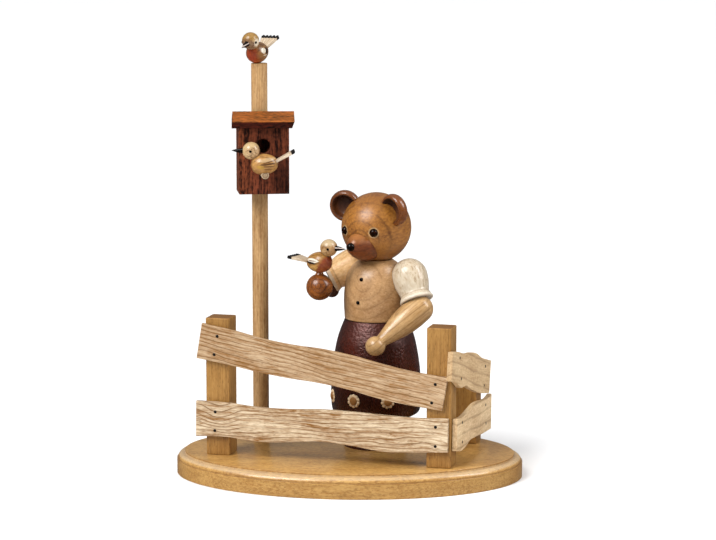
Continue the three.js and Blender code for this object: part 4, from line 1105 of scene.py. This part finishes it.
def make_head():
    rise = MUZZLE_END - MUZZLE_START
    side = [[MUZZLE_RADIUS * r, MUZZLE_START + rise * h] for r, h in MUZZLE_SIDE]
    cone = [[0, MUZZLE_START], *smooth(side, 48), [0, MUZZLE_END]]
    low = Vector((0, 0, -MUZZLE_DROP))
    set_muzzle, set_nose = placed(low, FRONT), at(low + FRONT * NOSE_REACH)
    muzzle = carved(moved(turned(cone), set_muzzle), moved(ball(NOSE_RADIUS + SEAM, PEG), set_nose))
    piece("cone_muzzle", local(muzzle, set_muzzle), W["muzzle"], "muzzle", "muzzle", group=HEAD,
          own=set_muzzle)
    piece("nose_bead", ball(NOSE_RADIUS, BEAD), W["black"], "black", "nose", group=HEAD, own=set_nose)

    seats = [moved(turned(grown(cone, MUZZLE_GAP)), set_muzzle)]
    for label, sign in SIDES.items():
        set_eye = at(eye_place(sign))
        seats.append(moved(ball(EYE_RADIUS + SEAM, PEG), set_eye))
        piece(f"eye_bead_{label}", ball(EYE_RADIUS, BEAD), W["eye"], "black", f"eye_{label}", group=HEAD,
              own=set_eye)
    piece("ball_head", carved(ball(HEAD_RADIUS), *seats), W["honey"], "honey", "head", group=HEAD)

    cup = turned([[0, EAR_CUP[0][1]], *smooth(EAR_CUP, 72)], EAR_SIDES)
    for label, sign in SIDES.items():
        set_ear = placed((sign * 15.2, -6.1, 10.8), (sign * -0.24, -0.92, -0.15))
        ear = carved(moved(cup, set_ear), ball(HEAD_RADIUS + SEAM))
        piece(f"ear_cup_{label}", local(ear, set_ear), W["ear"], "paw", f"ear_{label}", group=HEAD,
              own=set_ear)


make_base()
make_posts()
make_planks()
make_nails()
make_pole()
make_house()
make_pole_birds()
make_skirt()
make_torso(make_arms())
make_paw_bird()
make_head()

# Dowels inside stay as the solids they are, in their own wood
for name in ("waist_dowel", "neck_dowel", "shoulder_dowel_left", "shoulder_dowel_right",
             "elbow_dowel_left", "elbow_dowel_right", "bird_top_peg"):
    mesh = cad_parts[name].data
    mesh.materials.clear()
    mesh.materials.append(W["pole"])


# Camera, floor and light

LENS_PIXELS, IMAGE_WIDTH, SENSOR = 2500, 716, 36
CAMERA_PLACE = Vector((124.763, -1266.904, 299.295)) * MM
CAMERA_TURN, CAMERA_TILT = radians(5.416), radians(8.6)

right = Vector((cos(CAMERA_TURN), sin(CAMERA_TURN), 0))
level = Vector((sin(CAMERA_TURN), -cos(CAMERA_TURN), 0))
back = level * cos(CAMERA_TILT) + UP * sin(CAMERA_TILT)
upward = back.cross(right)


def make_camera():
    data = bpy.data.cameras.new("camera")
    data.sensor_width = SENSOR
    data.sensor_fit = "HORIZONTAL"
    data.lens = SENSOR * LENS_PIXELS / IMAGE_WIDTH
    data.clip_start, data.clip_end = 0.05, 50
    camera = shown("camera", data)
    camera.matrix_world = Matrix((right, upward, back)).transposed().to_4x4()
    camera.location = CAMERA_PLACE
    bpy.context.scene.camera = camera


FLOOR_HALF = 6.0


def make_floor():
    outline = [Vector((x, y, 0)) * FLOOR_HALF for x, y in ((-1, -1), (1, -1), (1, 1), (-1, 1))]
    mesh = mesh_of("floor", (outline, [(0, 1, 2, 3)]))
    r = Recipe(bpy.data.materials.new("pale_floor"))
    patches = r.noise(r.node("TexCoord").outputs["Object"], 3.0)
    tint = r.mix(patches, (0.93, 0.93, 0.94, 1), (0.95, 0.95, 0.95, 1))
    mesh.materials.append(r.surface({"Base Color": tint, "Roughness": 0.8}))
    floor = shown("floor", mesh)
    floor.visible_glossy = False


# Lamps shine at this point from ways given as shares to the right, upward and towards the camera
AIM = Vector((0.0, 0.0, 0.10))
SKY_LOW, SKY_HIGH = 0.12, 0.5
KEY_WAY, KEY_POWER, KEY_ANGLE = (-0.53, 0.63, 0.57), 3.4, 34

# Softboxes: name, way, distance, size, power and whether glossy pieces mirror them
SOFTBOXES = [("right", (0.78, 0.58, 0.25), 0.9, (0.25, 0.6), 5, True),
             ("fill", (-0.35, 0.2, 0.9), 1.3, (0.9, 0.9), 2.6, False)]


def make_lamp(name, kind, power, way, distance=0.0):
    across, rise, towards = way
    out = (right * across + upward * rise + back * towards).normalized()
    data = bpy.data.lights.new(name, kind)
    data.energy = power
    lamp = shown(name, data)
    lamp.location = AIM + out * distance
    lamp.rotation_euler = out.to_track_quat("Z", "Y").to_euler()
    return lamp


def make_sky():
    """A white studio dome, brightest overhead."""
    world = bpy.data.worlds.new("studio")
    bpy.context.scene.world = world
    r = Recipe(world, "Background")
    height = r.apart(r.node("TexCoord").outputs["Generated"])[2]
    strength = r.node("MapRange", {0: height, 1: 0.0, 2: 1.0, 3: SKY_LOW, 4: SKY_HIGH}).outputs[0]
    r.surface({"Color": (1, 1, 1, 1), "Strength": strength})


def make_light():
    """A wide key light from the camera's upper left, a softbox on the right and a weak fill."""
    make_sky()
    make_lamp("key", "SUN", KEY_POWER, KEY_WAY).data.angle = radians(KEY_ANGLE)
    for name, way, distance, size, power, mirrored in SOFTBOXES:
        lamp = make_lamp(name, "AREA", power, way, distance)
        lamp.data.shape = "RECTANGLE"
        lamp.data.size, lamp.data.size_y = size
        lamp.visible_glossy = mirrored
    view = bpy.context.scene.view_settings
    view.view_transform = "Standard"
    view.look = "None"


make_camera()
make_floor()
make_light()
